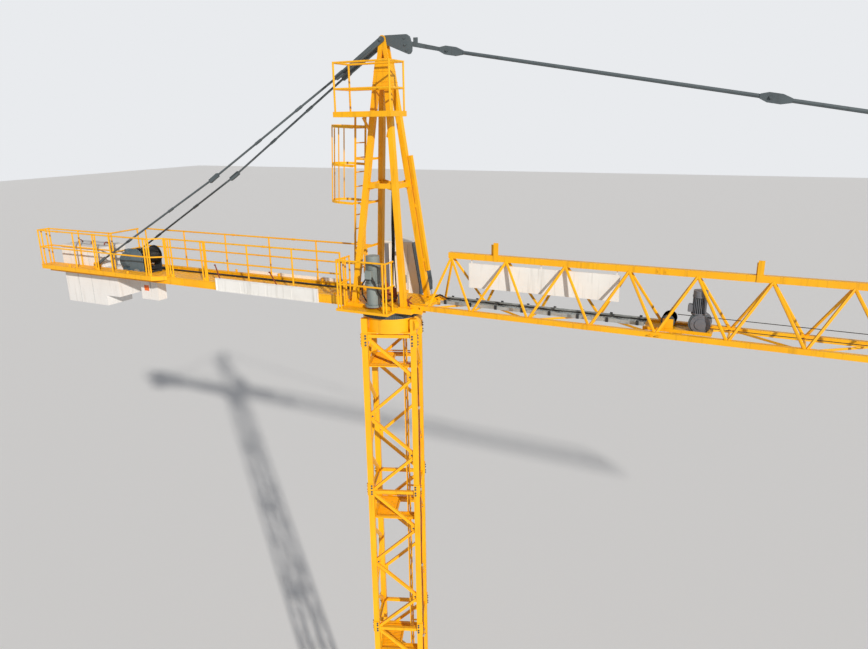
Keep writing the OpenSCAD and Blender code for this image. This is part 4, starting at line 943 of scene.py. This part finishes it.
# %% Jib joints
jib_x0, bay, jib_h, chord_y = 1035, 600, 540, 214
bays_to_first, bays_apart, pin_shift = 3, 5, 34
bm = bmesh.new()
for k in range(5):
    joint_x = jib_x0 + bay * (bays_to_first + bays_apart * k)
    for x in (joint_x - pin_shift, joint_x + pin_shift):
        for side in (-1, 1):
            for y in (chord_y - 27, chord_y + 27):
                bar(bm, on_deck(x - 22, side * y, 0), on_deck(x + 22, side * y, 0), 44, 5)
            rod(bm, on_deck(x, side * chord_y - 36, 0), on_deck(x, side * chord_y + 36, 0), 9, 10)
        for y in (-32.5, 32.5):
            bar(bm, on_deck(x - 22, y, jib_h), on_deck(x + 22, y, jib_h), 5, 46)
        rod(bm, on_deck(x, -41, jib_h), on_deck(x, 41, jib_h), 10, 10)
piece("jib_joint_pins", bm, yellow)

bm = bmesh.new()
for x in (1200, 3625):
    rounded(bm, block(bm, on_deck(x - 30, -7, 569), on_deck(x + 30, 7, 676)), 2)
    rod(bm, on_deck(x, -9, 646), on_deck(x, 9, 646), 14, 16)
piece("sling_plates", bm, yellow)

# %% [markdown]
# A walkway runs inside the first part of the jib. Its floor is open grating in a light frame, on
# black brackets, and two power cables lie along its far side.

# %% Jib walkway
w_low, w_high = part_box("jib_walkway")
bm = bmesh.new()
cross_pitch, cross_z = 0.032, w_low[2] + 0.0085
for k in range(int((w_high[0] - w_low[0]) / cross_pitch)):
    x = w_low[0] + cross_pitch / 2 + k * cross_pitch
    bar(bm, Vector((x, w_low[1] + 0.005, cross_z)), Vector((x, w_high[1] - 0.005, cross_z)), 5, 5)
for k in range(1, 6):
    y = w_low[1] + (w_high[1] - w_low[1]) * k / 6
    bar(bm, Vector((w_low[0], y, w_low[2] + 0.008)), Vector((w_high[0], y, w_low[2] + 0.008)), 4, 3)
piece("walkway_grating", bm, zinc_and_seam_shade)

bm = bmesh.new()
for k in range(8):
    x = w_low[0] + 0.06 + k * 0.283
    for y in (w_low[1] - 0.006, w_high[1] + 0.005):
        bar(bm, Vector((x, y, w_low[2])), Vector((x, y, w_high[2] + 0.012)), 26, 8)
piece("walkway_brackets", bm, black_steel_and_shade)

bm = bmesh.new()
for n, (y, z, r) in enumerate(((150, 30, 5), (142, 26, 4))):
    points = [on_deck(430 + n * 12, y + 30, 20), on_deck(520, y + 6 * math.sin(n), 66 - n * 10)]
    for k in range(15):
        points.append(on_deck(600 + k * 150, y + 5 * math.sin(k * 1.3 + n), z + 3 * math.cos(k * 1.9 + n)))
    hose(bm, points, r)
piece("walkway_cables", bm, rubber, smooth=True)

# %% [markdown]
# The trolley winch has a finned upright motor, a round gearbox under it, and a drum of thin rope
# between two plates, all on a yellow bed. Two ropes run from its drum along the jib.

# %% Trolley winch
t_low, t_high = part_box("trolley_winch")
motor_x, gear_x, gear_z = 3170, 3196, 98
bed_x0, bed_x1 = 2709, 3301
bed_z, cap_z = (z * 1000 - deck * 1000 for z in (t_low[2], t_high[2]))
bm = bmesh.new()
for k in range(22):
    a = math.tau * k / 22
    x, y = motor_x + 58 * math.cos(a), 58 * math.sin(a)
    bar(bm, on_deck(x, y, 190), on_deck(x, y, 330), 5, 14)
for z, r in ((178, 70), (334, 66)):
    rod(bm, on_deck(motor_x, 0, z), on_deck(motor_x, 0, z + 12), r, 28)
rod(bm, on_deck(motor_x, 0, 346), on_deck(motor_x, 0, cap_z + 2), 62, 28)
rounded(bm, block(bm, on_deck(3075, -40, 196), on_deck(3122, 30, 262)), 5)
for side in (-1, 1):
    rod(bm, on_deck(gear_x, side * 68, gear_z), on_deck(gear_x, side * 76, gear_z), 86, 32)
    rod(bm, on_deck(gear_x, side * 74, gear_z), on_deck(gear_x, side * 84, gear_z), 48, 28)
    for k in range(8):
        a = math.tau * k / 8
        at = on_deck(gear_x + 70 * math.cos(a), side * 75, gear_z + 70 * math.sin(a))
        bolt(bm, at, (0, side, 0), 5, 6)
piece("trolley_winch_motor", bm, slate)

bm = bmesh.new()
rounded(bm, block(bm, on_deck(bed_x0, -131, bed_z + 1), on_deck(bed_x1, 131, bed_z + 11)), 1)
for side in (-1, 1):
    block(bm, on_deck(bed_x0, side * 126 - 5, bed_z + 11), on_deck(bed_x1, side * 126 + 5, bed_z + 32))
piece("trolley_winch_bed", bm, yellow)

bm = bmesh.new()
for y in (-112, 112):
    for x0, x1, z0, z1 in ((2850, 3000, 22, 34), (2880, 2970, 34, 130)):
        block(bm, on_deck(x0, y - 5, z0), on_deck(x1, y + 5, z1))
piece("trolley_winch_guards", bm, yellow)

bm = bmesh.new()
for k in range(18):
    rope_turn(bm, on_deck(2920, -81 + k * 9, 101), 0.0595, 0.0042, 24, Matrix.Rotation(math.pi / 2, 4, "X"))
piece("trolley_rope_turns", bm, wire, smooth=True)

bm = bmesh.new()
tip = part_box("jib_head")[0][0] * 1000 - 6
rod(bm, on_deck(2985, -40, 62), on_deck(tip, -40, 34), 3.5, 6)
rod(bm, on_deck(2985, 46, 140), on_deck(tip, 46, 60), 3.5, 6)
piece("trolley_ropes", bm, wire)

# %% [markdown]
# The trolley hangs on wheels that run on the bottom chords, and the hook hangs from its block. Each
# side plate of the two is held by bolts.

# %% Trolley and hook fittings
c_low, c_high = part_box("trolley")
print("trolley box", [round(v, 3) for v in (*c_low, *c_high)])
bm = bmesh.new()
for x in (c_low[0] + 0.05, c_high[0] - 0.05):
    for side in (-1, 1):
        y0 = side * (c_high[1] - 0.012)
        bolt(bm, Vector((x, y0, (c_low[2] + c_high[2]) / 2)), (0, side, 0), 9, 11)
h_low, h_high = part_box("hook_block")
print("hook box", [round(v, 3) for v in (*h_low, *h_high)])
for side in (-1, 1):
    for dz in (0.04, 0.1):
        at = Vector(((h_low[0] + h_high[0]) / 2, side * (h_high[1] - 0.004), h_high[2] - dz))
        bolt(bm, at, (0, side, 0), 7, 4)
piece("trolley_bolts", bm, tie_grey)

# %% [markdown]
# A tie is a row of round bars with forged eyes. Each eye's pin is kept by a washer and a bolt, and
# the long rods have a coupling sleeve where two are screwed together.

# %% Tie fittings
bm = bmesh.new()
inner_x, inner_z, outer_x, outer_z = 290, 2588, 11535, 600
tie_slope = (inner_z - outer_z) / (outer_x - inner_x)


def tie_z(x):
    return outer_z + (outer_x - x) * tie_slope


first_pin, tie_bar = 699, 2847
for k in range(4):
    x = first_pin + k * tie_bar
    for side in (-1, 1):
        bolt(bm, on_deck(x, side * 30, tie_z(x)), (0, side, 0), 9, 9)
for side in (-1, 1):
    for x, z in ((237, 2654), (248, 2595), (262, 2541)):
        bolt(bm, on_deck(x, side * 12.2, z), (0, side, 0), 11, 8)
    bolt(bm, on_deck(0, side * 68, 2650), (0, side, 0), 15, 12)
piece("tie_pins", bm, tie_grey)

bm = bmesh.new()
for side in (-1, 1):
    apex, knee, tail = ((-497, side * 64, 2337), (-2230, side * 175, 1268), (-4340, side * 270, 105))
    for start, end, shares in ((apex, knee, (0.3, 0.62)), (knee, tail, (0.34, 0.7))):
        a, b = on_deck(*start), on_deck(*end)
        for t in shares:
            middle, run = a.lerp(b, t), (b - a).normalized() * 0.045
            rod(bm, middle - run, middle + run, 17, 6)
    for out in (-1, 1):
        bolt(bm, on_deck(-4340, side * 270 + out * 21, 105), (0, out, 0), 12, 10)
piece("tie_couplings", bm, tie_grey)

# %% Finish
print(len(made), "pieces added")
